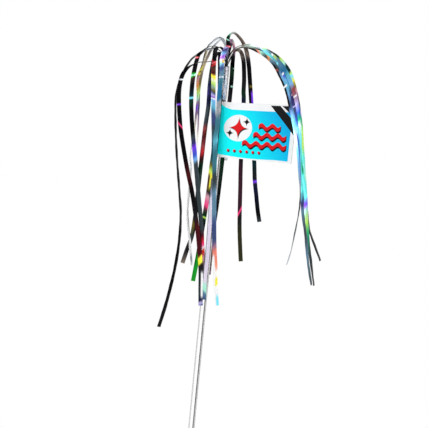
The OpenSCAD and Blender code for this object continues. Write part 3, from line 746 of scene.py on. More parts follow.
T = Tint
# The bands, glints and flanks below are painted light: painted reflections and painted shade down each
# film, painted highlights across it.
STREAMERS = [
    Streamer(
        "streamer_far_left", 321, OUTER_RING_R, 168, 90, 5, ROUTES["far_left"],
        bands=[(-30, T.SLATE), (-17, T.GREY), (-8, T.GREY), (-5, T.BLACK), (60, T.BLACK),
               (150, T.SOOT), (200, T.BLACK), (265, T.SOOT)],
        glints=[Glint(-9, T.GREY, 0.8), Glint(17, T.SILVER, 0.7)],
        turns=[(-20, 0), (-12, 18), (20, 24), (80, 22), (150, 26), (210, 34), (265, 46)],
    ),
    Streamer(
        "streamer_low_left", 280, OUTER_RING_R, 204, 114, 2, ROUTES["low_left"],
        bands=[(-12, T.BROWN), (-4, T.SOOT), (2, T.BLACK), (92, T.BLACK), (110, T.MAROON),
               (125, T.BLACK), (150, T.SOOT), (160, T.MAROON), (186, T.MAROON), (189, T.YELLOW),
               (194, T.YELLOW), (197, T.SOOT), (225, T.SLATE), (232, T.NAVY), (234, T.LILAC),
               (238, T.DENIM)],
        glints=[Glint(18, T.SILVER, 0.8), Glint(42, T.VIOLET, 0.9, 0.3),
                Glint(62, T.PINK, 1.3, -3.0)],
        flanks=[Flank(200, 232, 1, T.WHITE, 0.45)],
    ),
    Streamer(
        "streamer_left_front", 260, INNER_RING_R, 192, 102, 6, ROUTES["left_front"],
        bands=[(-30, T.SOOT), (-18, T.BLACK), (9.6, T.BLACK), (10.4, T.GREEN), (14.2, T.GREEN),
               (15, T.BROWN), (19, T.SOOT), (23, T.BLACK), (32, T.DARK_TEAL), (40, T.DARK_GREEN),
               (46, T.BLACK), (66, T.BLACK), (72, T.SLATE), (78, T.INDIGO), (82, T.VIOLET),
               (89, T.BLUE), (94, T.SKY), (98, T.SLATE), (162, T.SLATE), (168, T.MAROON), (173, T.RED),
               (177, T.PINK), (180, T.WHITE), (184, T.RED),
               (190, T.ROSE), (206, T.SOOT)],
        glints=[Glint(-5, T.CORAL, 0.8, 1.0), Glint(12.4, T.MINT, 0.9, 0.9), Glint(34.5, T.CYAN, 1.2, 0.3),
                Glint(183, T.RED, 1.0, 2.0)],
    ),
    Streamer(
        "streamer_pale_outer", 263, INNER_RING_R, 140, 60, 8, ROUTES["pale_outer"],
        bands=[(-45, T.SILVER), (-34, T.SILVER), (-16, T.SILVER), (-11, T.TAN), (-6, T.CREAM),
               (1, T.TAN), (5, T.YELLOW), (8, T.OLIVE), (14, T.ROSE), (21, T.ORANGE), (27, T.LIME),
               (34, T.MINT), (38, T.MAUVE), (42, T.VIOLET), (48, T.MAUVE), (60, T.CREAM),
               (90, T.WHITE), (186, T.WHITE), (192, T.GREY), (199, T.WHITE)],
        glints=[Glint(9.5, T.YELLOW, 1.4)],
        flanks=[Flank(-14, 8, -1, T.SOOT, 0.2)],
        turns=[(-45, 0), (-30, 18), (-12, 24), (4, 10), (20, 0)],
        slot="film_pale",
    ),
    Streamer(
        "streamer_pale_inner", 183, INNER_RING_R, 88, 155, 4, ROUTES["pale_inner"],
        bands=[(-45, T.SILVER), (-26, T.SILVER), (-20, T.GREY), (-8, T.TAUPE), (0, T.TAN),
               (10, T.TAUPE), (18, T.OLIVE), (28, T.LIME), (36, T.SLATE), (44, T.INDIGO),
               (56, T.MAUVE), (70, T.CREAM), (100, T.WHITE), (120, T.SILVER)],
        turns=[(-45, 0), (-30, 18), (-12, 24), (4, 10), (20, 0)],
        slot="film_pale",
    ),
    Streamer(
        "streamer_front_left", 257, INNER_RING_R, 243, 153, 6, ROUTES["front_left"],
        bands=[(-27, T.SOOT), (-3, T.BLACK), (-1.6, T.RED), (1.5, T.MAROON), (5, T.BROWN),
               (10, T.MAROON), (11.6, T.YELLOW), (14, T.YELLOW), (16, T.CREAM), (19, T.LIME),
               (23, T.SAGE), (26, T.OLIVE), (28, T.DENIM), (31, T.LILAC), (35, T.SKY), (42, T.AQUA),
               (48, T.DENIM), (56, T.DENIM), (62, T.SLATE), (70, T.STEEL), (92, T.TEAL),
               (98, T.OLIVE), (103, T.LIME),
               (107, T.YELLOW), (118, T.YELLOW), (124, T.SOOT), (129, T.ROSE), (138, T.PINK),
               (145, T.DARK_GREEN), (160, T.DARK_GREEN), (172, T.SOOT), (188, T.GREEN),
               (212, T.GREEN)],
        glints=[Glint(-0.6, T.CORAL, 0.7, -1.2), Glint(1.6, T.RED, 0.7, -1.2),
                Glint(32, T.ORCHID, 0.8, 0.6),
                Glint(33.6, T.WHITE, 0.6, 0.6),
                Glint(150, T.LIME, 1.0)],
        flanks=[Flank(104, 124, 1, T.BROWN, 0.45)],
    ),
    Streamer(
        "streamer_back_left", 235, OUTER_RING_R, 132, 42, 5, ROUTES["back_left"],
        bands=[(-20, T.SOOT), (0, T.SOOT), (12, T.SLATE), (18, T.NAVY), (26, T.INDIGO),
               (34, T.NAVY), (42, T.SLATE), (56, T.SLATE), (62, T.BRICK), (70, T.MAROON),
               (80, T.BRICK), (86, T.RED), (92, T.MAROON), (98, T.DARK_GREEN), (120, T.SLATE),
               (150, T.SOOT), (158, T.OLIVE), (172, T.SLATE), (185, T.SOOT), (199, T.TAUPE)],
    ),
    Streamer(
        "streamer_front_centre", 276, OUTER_RING_R, 278, 0, 6, ROUTES["front_centre"],
        bands=[(-29, T.SLATE), (-17, T.LILAC), (-13, T.INDIGO), (-10, T.SKY), (-7.5, T.ORCHID),
               (-5, T.ORCHID), (-3.6, T.WHITE), (-1.5, T.MINT), (1, T.SKY), (4, T.DENIM),
               (8, T.STEEL), (12, T.STEEL), (17, T.TEAL), (24, T.MARINE), (33, T.MARINE),
               (37, T.GREY), (46, T.GREY), (54, T.TEAL), (64, T.TEAL), (74, T.AQUA),
               (84, T.TEAL), (100, T.TEAL), (108, T.SLATE), (114, T.SLATE), (124, T.STEEL),
               (144, T.STEEL), (154, T.DENIM), (170, T.DENIM), (176, T.MAUVE), (181, T.SALMON),
               (196, T.SALMON), (202, T.WHITE), (207, T.CREAM), (209, T.YELLOW), (214, T.YELLOW),
               (217, T.WHITE), (224, T.WHITE), (228, T.CYAN), (235, T.CYAN)],
        flanks=[Flank(182, 245, -1, T.WHITE, 0.4)],
        glints=[Glint(-2.2, T.ORANGE, 1.5, 0.0, 0.2, 1.0),
                Glint(-1.8, T.YELLOW, 0.8, 0.0, 0.5, 1.0), Glint(12.6, T.SILVER, 0.7, 0.3)],
        slot="film_blue",
    ),
    Streamer(
        "streamer_front_tube", 260, OUTER_RING_R, 241, 0, 4, ROUTES["front_tube"],
        bands=[(-19, T.SOOT), (-12, T.BLACK), (10, T.SOOT), (60, T.SLATE), (110, T.PEARL),
               (212, T.PEARL), (217, T.MINT), (221, T.MINT), (225, T.STEEL), (231, T.DENIM)],
        flanks=[Flank(104, 214, 1, T.SLATE, 0.12)],
        slot="film_pale",
    ),
    Streamer(
        "streamer_back_tube", 269, OUTER_RING_R, 78, 170, 8, ROUTES["back_tube"],
        bands=[(-50, T.SOOT), (-36, T.BLACK), (-29, T.MAUVE), (-26, T.SAGE), (-24, T.ROSE),
               (-20, T.MAUVE), (-15, T.MAUVE), (-11, T.SOOT), (-6, T.BLACK), (4, T.DARK_GREEN),
               (16, T.BLACK),
               (30, T.SOOT), (36, T.PLUM), (42, T.SOOT), (80, T.SLATE), (92, T.DARK_GREEN),
               (130, T.SOOT), (165, T.SOOT), (178, T.MAROON), (196, T.TAUPE), (209, T.MAUVE)],
        glints=[Glint(0, T.MINT, 0.7, 0.6, -1.0, -0.4), Glint(18, T.MINT, 0.8, 0.6, -1.0, 0.0)],
    ),
    Streamer(
        "streamer_back_right", 238, OUTER_RING_R, 42, 110, 5, ROUTES["back_right"],
        bands=[(-30, T.SOOT), (-21, T.TAUPE), (-13, T.TAUPE), (-8, T.SOOT), (-4, T.BLACK),
               (16, T.SOOT), (24, T.DARK_GREEN), (32, T.NAVY), (40, T.BLACK), (88, T.SOOT),
               (96, T.PLUM), (136, T.PLUM), (148, T.SOOT), (164, T.MOSS),
               (193, T.MOSS)],
        glints=[Glint(142, T.PINK, 2.2, -4.0)],
        turns=[(-26, 0), (-18, -30), (-10, -20), (0, 0)],
    ),
    Streamer(
        "streamer_tall_loop", 231, INNER_RING_R, 36, -40, 8, ROUTES["tall_loop"],
        bands=[(-66, T.SOOT), (-48, T.BLACK), (-39, T.BLACK), (-37, T.EMERALD), (-35, T.SAGE),
               (-33.6, T.SILVER), (-32, T.TAUPE), (-14, T.TAUPE), (-9, T.SOOT), (-5, T.BLACK),
               (17, T.BLACK), (60, T.SOOT),
               (90, T.DARK_TEAL), (104, T.SOOT), (118, T.NAVY), (142, T.BLACK), (151, T.SLATE)],
        glints=[Glint(-47.5, T.CORAL, 0.6, 0.3), Glint(-41, T.MINT, 0.7, 0.3),
                Glint(16, T.OLIVE, 1.4, 0.5, -1.0, 0.2), Glint(110.5, T.VIOLET, 1.6, -0.2)],
        flanks=[Flank(18, 37, -1, T.VIOLET, 0.42)],
        turns=[(-40, 0), (-34, -16), (-20, -26), (-8, -12), (2, 0)],
    ),
    Streamer(
        "streamer_right_inner", 264, OUTER_RING_R, 314, 45, 4, ROUTES["right_inner"],
        bands=[(-36, T.BROWN), (-29, T.BROWN), (-24, T.TAUPE), (-18.5, T.BROWN), (-17.6, T.BLACK),
               (-15, T.BLACK), (-13.8, T.SALMON), (-12.8, T.SALMON), (-11.6, T.MINT), (-9, T.SLATE),
               (-6, T.ORANGE), (-4, T.STEEL), (4, T.SLATE),
               (12, T.SKY), (20, T.AQUA), (28, T.SKY), (36, T.DENIM), (46, T.SKY), (54, T.CYAN),
               (66, T.WHITE), (76, T.CYAN), (90, T.SKY), (110, T.GREY), (124, T.SOOT), (146, T.SLATE),
               (164, T.GREY), (180, T.SILVER)],
        glints=[Glint(5, T.BRICK, 1.2, 0.0, -1.0, 0.0), Glint(20, T.WHITE, 0.9, 1.2)],
        flanks=[Flank(-4, 42, -1, T.BLACK, 0.4), Flank(60, 120, 1, T.BLUE, 0.35)],
        turns=[(-40, 20), (-33, 70), (-22, 46), (-17, 30), (-12, 38), (0, 34), (30, 18),
               (90, 0), (130, 14), (180, 10)],
        slot="film_blue",
    ),
    Streamer(
        "streamer_right_mid", 287, INNER_RING_R, 294, 28, 5, ROUTES["right_mid"],
        bands=[(-38, T.STEEL), (-33, T.SOOT), (-27, T.BROWN), (-22, T.TAUPE), (-18, T.SAGE),
               (-16, T.SLATE), (-13, T.CYAN), (-8, T.TURQUOISE),
               (-5, T.AQUA), (-1, T.STEEL), (5, T.MARINE), (9, T.BLUE), (13, T.SKY), (20, T.AQUA),
               (26, T.DENIM), (31, T.INDIGO), (42, T.DENIM), (50, T.BLUE), (58, T.CYAN),
               (72, T.AQUA), (84, T.TURQUOISE),
               (112, T.TURQUOISE), (124, T.INDIGO), (130, T.STEEL), (150, T.SLATE),
               (170, T.STEEL), (197, T.SLATE)],
        glints=[Glint(-1, T.CYAN, 1.0, 1.5), Glint(8, T.WHITE, 0.9, 1.4),
                Glint(28, T.ROSE, 0.8, 1.2, 0.2, 1.0), Glint(38, T.LILAC, 0.7, 1.0)],
        turns=[(-42, 20), (-35, 70), (-24, 46), (-18, 30), (-12, 40), (0, 36), (30, 18),
               (90, 0), (120, 34), (160, 34), (197, 20)],
        slot="film_blue",
    ),
    Streamer(
        "streamer_right_near", 288, OUTER_RING_R, 346, 60, 3.5, ROUTES["right_near"],
        bands=[(-40, T.SKY), (-37, T.BLACK), (-27, T.BLACK), (-24, T.TAUPE), (-20.4, T.TAUPE),
               (-19.6, T.SAGE), (-18.4, T.GREY), (-17, T.LILAC), (-15.4, T.LIME), (-14, T.CYAN),
               (-11, T.STEEL),
               (-8, T.LIME), (-5, T.STEEL), (4, T.MARINE), (9, T.AQUA), (17, T.SKY), (22, T.BRICK),
               (28, T.MAUVE),
               (34, T.LILAC), (42, T.BLUE), (48, T.EMERALD), (54, T.WHITE), (62, T.CYAN),
               (80, T.TURQUOISE), (94, T.EMERALD), (100, T.TURQUOISE), (118, T.TURQUOISE),
               (124, T.VIOLET), (130, T.MINT), (140, T.LIME), (152, T.EMERALD), (170, T.SLATE),
               (198, T.SOOT)],
        glints=[Glint(28, T.WHITE, 0.8, 1.0), Glint(-10, T.WHITE, 0.8, 1.0)],
        turns=[(-44, 20), (-37, 72), (-26, 46), (-19, 30), (-13, 42), (0, 38), (30, 18),
               (90, 0), (120, 36), (160, 36), (197, 18)],
        slot="film_blue",
    ),
    Streamer(
        "streamer_right_outer", 272, INNER_RING_R, 345, 72, 7, ROUTES["right_outer"],
        bands=[(-42, T.STEEL), (-38, T.BLACK), (-27, T.BLACK), (-24, T.TAUPE), (-21.8, T.TAUPE),
               (-21.2, T.SAGE), (-20.2, T.GREY), (-18, T.LILAC), (-16.6, T.LIME), (-15, T.SAGE),
               (-13, T.SLATE),
               (-9, T.DARK_GREEN), (-6, T.LIME), (-3, T.MINT), (0, T.DARK_TEAL), (4, T.DARK_TEAL),
               (7, T.LIME), (10, T.MINT), (14, T.YELLOW),
               (19, T.OLIVE), (23, T.ROSE), (28, T.MAUVE), (36, T.SLATE), (44, T.LILAC),
               (50, T.EMERALD), (60, T.LIME), (72, T.LIME), (82, T.TURQUOISE), (100, T.MINT),
               (112, T.TURQUOISE), (122, T.SLATE), (130, T.SOOT), (150, T.BLACK), (175, T.SOOT)],
        glints=[Glint(9, T.CYAN, 1.2, 0.0)],
        turns=[(-46, 20), (-39, 74), (-28, 46), (-21, 30), (-14, 44), (0, 40), (30, 18),
               (90, 0), (130, 20), (175, 24)],
        slot="film_blue",
    ),
]


@dataclass(frozen=True)
class RootWad:
    """The gathered ends of the film, pushed down inside the tube's mouth.

    Attributes:
        gap: Room between the film and the bore, in millimetres.
        around: Points round the bore.
        rings: Cross-sections along the depth.
        fold: Depth of the pleats as a share of the bore.
    """

    gap: float = 0.06
    around: int = 96
    rings: int = 80
    fold: float = 0.13

    def build(self, material: bpy.types.Material) -> bpy.types.Object:
        """Make the crumpled bundle.

        Its radius is the bore's, less a pleat of eleven waves that winds with the
        depth and two finer ones that run across it, so the film bunches and creases.

        Args:
            material: Finish of the crumpled film.

        Returns:
            The bundle, riding on the wand.
        """
        bore = TUBE_D / 2 - TUBE_WALL - self.gap
        turn = np.linspace(0, 2 * np.pi, self.around, endpoint=False)[None, :]
        top = TUBE_LENGTH - ROOT_SETBACK - 0.15
        z = np.linspace(top, TUBE_LENGTH - ROOT_SETBACK - ROOT_DEPTH, self.rings)[:, None]
        wind = z * 0.21
        pleat = 0.5 + 0.5 * np.cos(11 * turn + wind)
        crease = 0.5 + 0.5 * np.sin(5 * turn - 1.3 * z + 2 * np.sin(0.7 * z))
        crumple = 0.5 + 0.5 * np.sin(17 * turn + 3.1 * np.sin(0.9 * z) + 1.9 * z)
        inward = self.fold * (0.55 * pleat + 0.3 * crease + 0.15 * crumple)
        r = bore * (1 - inward)
        rings = np.stack([r * np.cos(turn), r * np.sin(turn), z + 0 * turn], -1)
        mesh = loop_mesh("root_wad_film", rings, sharp=75)
        mesh.materials.append(material)
        piece = new_object("root_wad_film", mesh)
        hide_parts("root_wad")
        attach(piece, "wand")
        log.info("%s: %d faces", piece.name, len(mesh.polygons))
        return piece


@dataclass(frozen=True)
class CrumpledFilm:
    """Finish of the gathered roots: silver and blue scraps, dark at the lower end."""

    name: str = "crumpled_film"
    facet: float = 1.3
    dark_height: float = 2.2

    def build(self) -> bpy.types.Material:
        """Make the material from cell noise stretched along the tube."""
        material, g, shader = new_material(self.name)
        at = g.node("ShaderNodeTexCoord").outputs["Object"]
        scaled = g.node("ShaderNodeMapping", {0: at, 3: (1 / MM, 1 / MM, 0.16 / MM)})
        cells = g.node(
            "ShaderNodeTexVoronoi", {"Vector": scaled.outputs[0], "Scale": 1 / self.facet}
        )
        shade = g.node("ShaderNodeSeparateColor", {0: cells.outputs["Color"]}).outputs[0]
        ramp = g.node("ShaderNodeValToRGB", {0: shade})
        stops = [(0.0, T.STEEL), (0.15, T.SKY), (0.4, T.SILVER), (0.6, T.PEARL), (0.85, T.WHITE)]
        fill_ramp(ramp, stops)
        foot = TUBE_LENGTH - ROOT_SETBACK - ROOT_DEPTH + self.dark_height
        height = g.node("ShaderNodeSeparateXYZ", {0: at}).outputs[2]
        lower = g.spread(height, (foot - 0.3) * MM, (foot + 0.3) * MM, 1.0, 0.0)
        colour = g.blend(lower, ramp.outputs[0], rgba(T.SOOT.value))
        creases = g.node(
            "ShaderNodeTexNoise", {"Vector": scaled.outputs[0], "Scale": 1.7, "Detail": 3.0}
        )
        bump = g.node("ShaderNodeBump", {
            "Strength": 0.6, "Distance": 0.4 * MM, "Height": creases.outputs["Fac"],
        })
        g.tree.links.new(colour, shader.inputs["Base Color"])
        g.tree.links.new(bump.outputs[0], shader.inputs["Normal"])
        rough = g.spread(creases.outputs["Fac"], 0.3, 0.7, 0.16, 0.34)
        g.tree.links.new(rough, shader.inputs["Roughness"])
        shader.inputs["Metallic"].default_value = 0.35
        return material


def fill_ramp(ramp: bpy.types.Node, stops: list[tuple[float, Tint]]) -> None:
    """Set the stops of a colour ramp.

    Args:
        ramp: The ColorRamp node.
        stops: Positions from 0 to 1 and their tints, in rising order.
    """
    elements = ramp.color_ramp.elements
    while len(elements) < len(stops):
        elements.new(0.5)
    for element, (place, tint) in zip(elements, stops):
        element.position = place
        element.color = rgba(tint.value)


@dataclass(frozen=True)
class ClearPlastic:
    """Extruded clear plastic: faint die lines, and a dark rim tint where the wall is seen edge-on, painted
    shade for the tube's dark edges.

    Attributes:
        name: Name of the material.
        ior: Index of refraction.
        rim: Tint of the plastic where it is seen edge-on, painted shade.
        body: Tint where it is seen straight on.
        haze: Lowest roughness.
        edge: Blend of the layer weight that finds the rim, below one half.
    """

    name: str = "clear_tube"
    ior: float = 1.49
    rim: tuple[float, float, float] = (56, 54, 52)
    body: tuple[float, float, float] = (255, 255, 255)
    haze: float = 0.0
    edge: float = 0.35

    def build(self) -> bpy.types.Material:
        """Make the glassy material."""
        material, g, shader = new_material(self.name)
        at = g.node("ShaderNodeTexCoord").outputs["Object"]
        lines = g.node("ShaderNodeMapping", {0: at, 3: (1.4 / MM, 1.4 / MM, 0.012 / MM)})
        noise = g.node("ShaderNodeTexNoise", {"Vector": lines.outputs[0], "Detail": 2.0, "Scale": 1.0})
        # Painted shade: the plastic takes the dark rim tint where its wall is seen edge-on.
        rim = g.spread(self.facing(g), 0.18, 0.52, 0.0, 1.0)
        colour = g.blend(rim, rgba(self.body), rgba(self.rim))
        rough = g.spread(noise.outputs["Fac"], 0.35, 0.75, self.haze, self.haze + 0.03)
        bump = g.node("ShaderNodeBump", {
            "Strength": 0.05, "Distance": 0.04 * MM, "Height": noise.outputs["Fac"],
        })
        g.tree.links.new(colour, shader.inputs["Base Color"])
        g.tree.links.new(rough, shader.inputs["Roughness"])
        g.tree.links.new(bump.outputs[0], shader.inputs["Normal"])
        shader.inputs["Transmission Weight"].default_value = 1.0
        shader.inputs["IOR"].default_value = self.ior
        return material

    def facing(self, g: Graph) -> bpy.types.NodeSocket:
        """How far the upright wall is edge-on to an eye at its own height.

        Seen from above the wall would be edge-on all over, and the tube would look solid.
        """
        facing = g.node("ShaderNodeLayerWeight", {"Blend": self.edge}).outputs["Facing"]
        incoming = g.node("ShaderNodeNewGeometry").outputs["Incoming"]
        flat = g.node("ShaderNodeVectorMath", {0: incoming, 1: (1, 1, 0)}, operation="MULTIPLY")
        level = g.node("ShaderNodeVectorMath", {0: flat.outputs["Vector"]}, operation="LENGTH")
        share = g.math("POWER", level.outputs["Value"], 2 * self.edge)
        return g.math("SUBTRACT", 1.0, g.math("DIVIDE", g.math("SUBTRACT", 1.0, facing), share))


@dataclass(frozen=True)
class ClearTube:
    """The extruded tube: open bore, outer rims lightly chamfered.

    Attributes:
        around: Points round the tube.
        bands: Lengths that the wall is divided into.
    """

    around: int = 128
    bands: int = 24

    def build(self, material: bpy.types.Material) -> bpy.types.Object:
        """Turn the wall's outline about the tube's axis.

        The outline runs down the outside, across the butt and up the bore. A point
        at radius r and angle a lies at r cos a, r sin a.

        Args:
            material: Finish of the plastic.

        Returns:
            The tube, riding on the wand.
        """
        outer, bore = TUBE_D / 2, TUBE_D / 2 - TUBE_WALL
        low, high = TUBE_CHAMFER, TUBE_LENGTH - TUBE_CHAMFER
        down = [(outer, z) for z in np.linspace(high, low, self.bands)]
        up = [(bore, z) for z in np.linspace(0, TUBE_LENGTH, self.bands)]
        rim = outer - TUBE_CHAMFER
        outline = np.array([(rim, TUBE_LENGTH), *down, (rim, 0), *up])
        turn = np.linspace(0, 2 * np.pi, self.around, endpoint=False)[None, :]
        r, z = outline[:, :1], outline[:, 1:]
        rings = np.stack([r * np.cos(turn), r * np.sin(turn), z + 0 * turn], -1)
        mesh = loop_mesh("clear_tube", rings, sharp=30, capped=False)
        mesh.materials.append(material)
        piece = new_object("clear_tube", mesh)
        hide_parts("rod_tube")
        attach(piece, "wand")
        log.info("%s: %d faces", piece.name, len(mesh.polygons))
        return piece


@dataclass(frozen=True)
class Studio:
    """Pale floor, soft lamps and a white surround.

    Attributes:
        fill: Strength of the surround on matt surfaces.
        floor_half: Half the floor's side, in metres.
        fade: Where the floor starts to fade into the surround and where it ends.
        glow: Light that the floor adds where it is seen.
        flag_foot: The black flag's two lower corners, in metres from the wand.
        flag_height: Its height in metres.
    """

    fill: float = 0.62
    floor_half: float = 2.0
    fade: tuple[float, float] = (0.26, 0.5)
    glow: float = 0.06
    flag_foot: tuple[tuple[float, float], ...] = ((0.03, 0.4), (0.15, 0.38))
    flag_height: float = 1.0

    def build(self) -> None:
        """Make the world, the floor and the lamps, and the colour settings."""
        scene = bpy.context.scene
        scene.view_settings.view_transform = "Standard"
        world = bpy.data.worlds.new("surround")
        scene.world = world
        world.use_nodes = True
        world.node_tree.nodes.clear()
        g = Graph(world.node_tree)
        seen = self.seen(g)
        soft = g.node("ShaderNodeBackground", {"Color": (0.97, 0.98, 1, 1), "Strength": self.fill})
        white = g.node("ShaderNodeBackground", {"Color": (1, 1, 1, 1), "Strength": 1.0})
        mixed = g.node("ShaderNodeMixShader", {0: seen, 1: soft.outputs[0], 2: white.outputs[0]})
        g.node("ShaderNodeOutputWorld", {"Surface": mixed.outputs[0]})
        self.floor()
        self.flag()
        self.lamp("key", (-0.7, -1.0, 1.35), 9.0, 0.9)
        self.lamp("fill", (0.9, -0.9, 0.8), 3.5, 0.8)
        self.lamp("rim", (0.3, 0.9, 1.4), 4.0, 0.7)

    def seen(self, g: Graph) -> bpy.types.NodeSocket:
        """Mask of the rays that show the white surround: camera, glossy, transmission."""
        path = g.node("ShaderNodeLightPath").outputs
        mirrored = g.math("MAXIMUM", path["Is Glossy Ray"], path["Is Transmission Ray"])
        return g.math("MAXIMUM", path["Is Camera Ray"], mirrored)

    def floor(self) -> None:
        """Pale matt floor that keeps the wand's shadow."""
        half = self.floor_half
        mesh = bpy.data.meshes.new("floor")
        corners = [(-half, -half, 0), (half, -half, 0), (half, half, 0), (-half, half, 0)]
        mesh.from_pydata(corners, [], [(0, 1, 2, 3)])
        floor = new_object("floor", mesh)
        floor.location.z = -0.05 * MM
        material, g, shader = new_material("pale_floor")
        grain = g.node("ShaderNodeTexNoise", {"Scale": 60.0, "Detail": 4.0})
        colour = g.blend(grain.outputs["Fac"], (0.86, 0.86, 0.87, 1), (0.9, 0.9, 0.9, 1))
        g.tree.links.new(colour, shader.inputs["Base Color"])
        shader.inputs["Roughness"].default_value = 0.8
        shader.inputs["Emission Color"].default_value = (1, 1, 1, 1)
        seen = self.seen(g)
        g.tree.links.new(g.math("MULTIPLY", seen, self.glow), shader.inputs["Emission Strength"])
        at = g.node("ShaderNodeTexCoord").outputs["Object"]
        away = g.node("ShaderNodeVectorMath", {0: at}, operation="LENGTH").outputs["Value"]
        far = g.math("MULTIPLY", g.spread(away, *self.fade, 0.0, 1.0), seen)
        white = g.node("ShaderNodeEmission", {"Color": (1, 1, 1, 1), "Strength": 1.0})
        mixed = g.node("ShaderNodeMixShader", {0: far, 1: shader.outputs[0], 2: white.outputs[0]})
        output = next(n for n in g.tree.nodes if n.type == "OUTPUT_MATERIAL")
        g.tree.links.new(mixed.outputs[0], output.inputs["Surface"])
        mesh.materials.append(material)

    def flag(self) -> None:
        """Narrow black card behind the wand on its right, which only clear plastic shows.

        It draws the dark line along the clear tube's right edge.
        """
        mesh = bpy.data.meshes.new("black_flag")
        near, far = self.flag_foot
        corners = [(*near, 0), (*far, 0), (*far, self.flag_height), (*near, self.flag_height)]
        mesh.from_pydata(corners, [], [(0, 3, 2, 1)])
        flag = new_object("black_flag", mesh)
        material, _, shader = new_material("flag_black")
        shader.inputs["Base Color"].default_value = (0.005, 0.005, 0.005, 1)
        shader.inputs["Roughness"].default_value = 1.0
        mesh.materials.append(material)
        flag.visible_camera = flag.visible_diffuse = flag.visible_shadow = False
        flag.visible_glossy = False

    def lamp(self, name: str, place: tuple[float, float, float], watts: float, size: float) -> None:
        """Add a square soft lamp that faces the top of the wand.

        Args:
            name: Name of the lamp.
            place: Its place in metres.
            watts: Its power.
            size: Its side in metres.
        """
        data = bpy.data.lights.new(name, "AREA")
        data.energy, data.size = watts, size
        lamp = bpy.data.objects.new(name, data)
        lamp.location = place
        aim = Vector((0, 0, 0.5)) - Vector(place)
        lamp.rotation_euler = aim.to_track_quat("-Z", "Y").to_euler()
        bpy.context.scene.collection.objects.link(lamp)


class PrintGraph(Graph):
    """Flat shapes of a print, drawn as masks over two coordinates in millimetres."""

    soft = 0.16

    def __init__(self, tree: bpy.types.NodeTree, across: object, up: object) -> None:
        """Keep the tree and the two coordinates of the printed face."""
        super().__init__(tree)
        self.across, self.up = across, up

    def inside(self, distance: object) -> bpy.types.NodeSocket:
        """Mask that is 1 where a signed distance is below zero, with a soft edge."""
        return self.spread(distance, -self.soft, self.soft, 1.0, 0.0)

    def both(self, *masks: object) -> bpy.types.NodeSocket:
        """Where all the masks hold: their product."""
        out = masks[0]
        for mask in masks[1:]:
            out = self.math("MULTIPLY", out, mask)
        return out

    def either(self, *masks: object) -> bpy.types.NodeSocket:
        """Where any mask holds: their maximum."""
        out = masks[0]
        for mask in masks[1:]:
            out = self.math("MAXIMUM", out, mask)
        return out

    def below(self, x0: float, y0: float, slope: float) -> bpy.types.NodeSocket:
        """Mask below the straight line through a point with a slope."""
        line = self.math("MULTIPLY_ADD", self.math("SUBTRACT", self.across, x0), slope, y0)
        return self.inside(self.math("SUBTRACT", self.up, line))

    def above(self, x0: float, y0: float, slope: float) -> bpy.types.NodeSocket:
        """Mask above the straight line through a point with a slope."""
        return self.math("SUBTRACT", 1.0, self.below(x0, y0, slope))

    def left_of(self, x0: float) -> bpy.types.NodeSocket:
        """Mask on the side of the tube from an upright line."""
        return self.inside(self.math("SUBTRACT", self.across, x0))

    def right_of(self, x0: float) -> bpy.types.NodeSocket:
        """Mask on the free side of an upright line."""
        return self.math("SUBTRACT", 1.0, self.left_of(x0))

    def oval(self, x0: float, y0: float, half_x: float, half_y: float) -> bpy.types.NodeSocket:
        """Mask of an upright oval: the root of both squared shares is below 1."""
        dx = self.math("DIVIDE", self.math("SUBTRACT", self.across, x0), half_x)
        dy = self.math("DIVIDE", self.math("SUBTRACT", self.up, y0), half_y)
        squares = self.math("ADD", self.math("MULTIPLY", dx, dx), self.math("MULTIPLY", dy, dy))
        away = self.math("SUBTRACT", self.math("SQRT", squares), 1.0)
        return self.inside(self.math("MULTIPLY", away, min(half_x, half_y)))

    def sparkle(self, x0: float, y0: float, reach: float) -> bpy.types.NodeSocket:
        """Mask of a four-pointed sparkle: the roots of both offsets add up to less than reach's."""
        dx = self.math("SQRT", self.math("ABSOLUTE", self.math("SUBTRACT", self.across, x0)))
        dy = self.math("SQRT", self.math("ABSOLUTE", self.math("SUBTRACT", self.up, y0)))
        return self.inside(self.math("SUBTRACT", self.math("ADD", dx, dy), math.sqrt(reach)))

    def wave(
        self, x0: float, x1: float, y0: float, half: float, length: float
    ) -> bpy.types.NodeSocket:
        """Mask of a wavy stripe.

        Args:
            x0: Where it starts.
            x1: Where it ends.
            y0: Height of its middle line.
            half: Half its thickness.
            length: Length of one wave.

        Returns:
            The mask: the height is within half of the line plus a sine.
        """
        along = self.math("SUBTRACT", self.across, x0)
        sine = self.math("SINE", self.math("MULTIPLY", along, 2 * math.pi / length))
        middle = self.math("MULTIPLY_ADD", sine, length * WAVE_HEIGHT_SHARE, y0)
        off = self.math("ABSOLUTE", self.math("SUBTRACT", self.up, middle))
        stripe = self.inside(self.math("SUBTRACT", off, half))
        return self.both(stripe, self.right_of(x0), self.left_of(x1))

    def dots(
        self, x0: float, x1: float, y0: float, step: float, radius: float
    ) -> bpy.types.NodeSocket:
        """Mask of a level row of round dots between two places."""
        along = self.math("SUBTRACT", self.across, x0)
        local = self.math("SUBTRACT", self.math("MODULO", along, step), step / 2)
        up = self.math("SUBTRACT", self.up, y0)
        squares = self.math("ADD", self.math("MULTIPLY", local, local), self.math("MULTIPLY", up, up))
        spot = self.inside(self.math("SUBTRACT", self.math("SQRT", squares), radius))
        return self.both(spot, self.right_of(x0), self.left_of(x1))


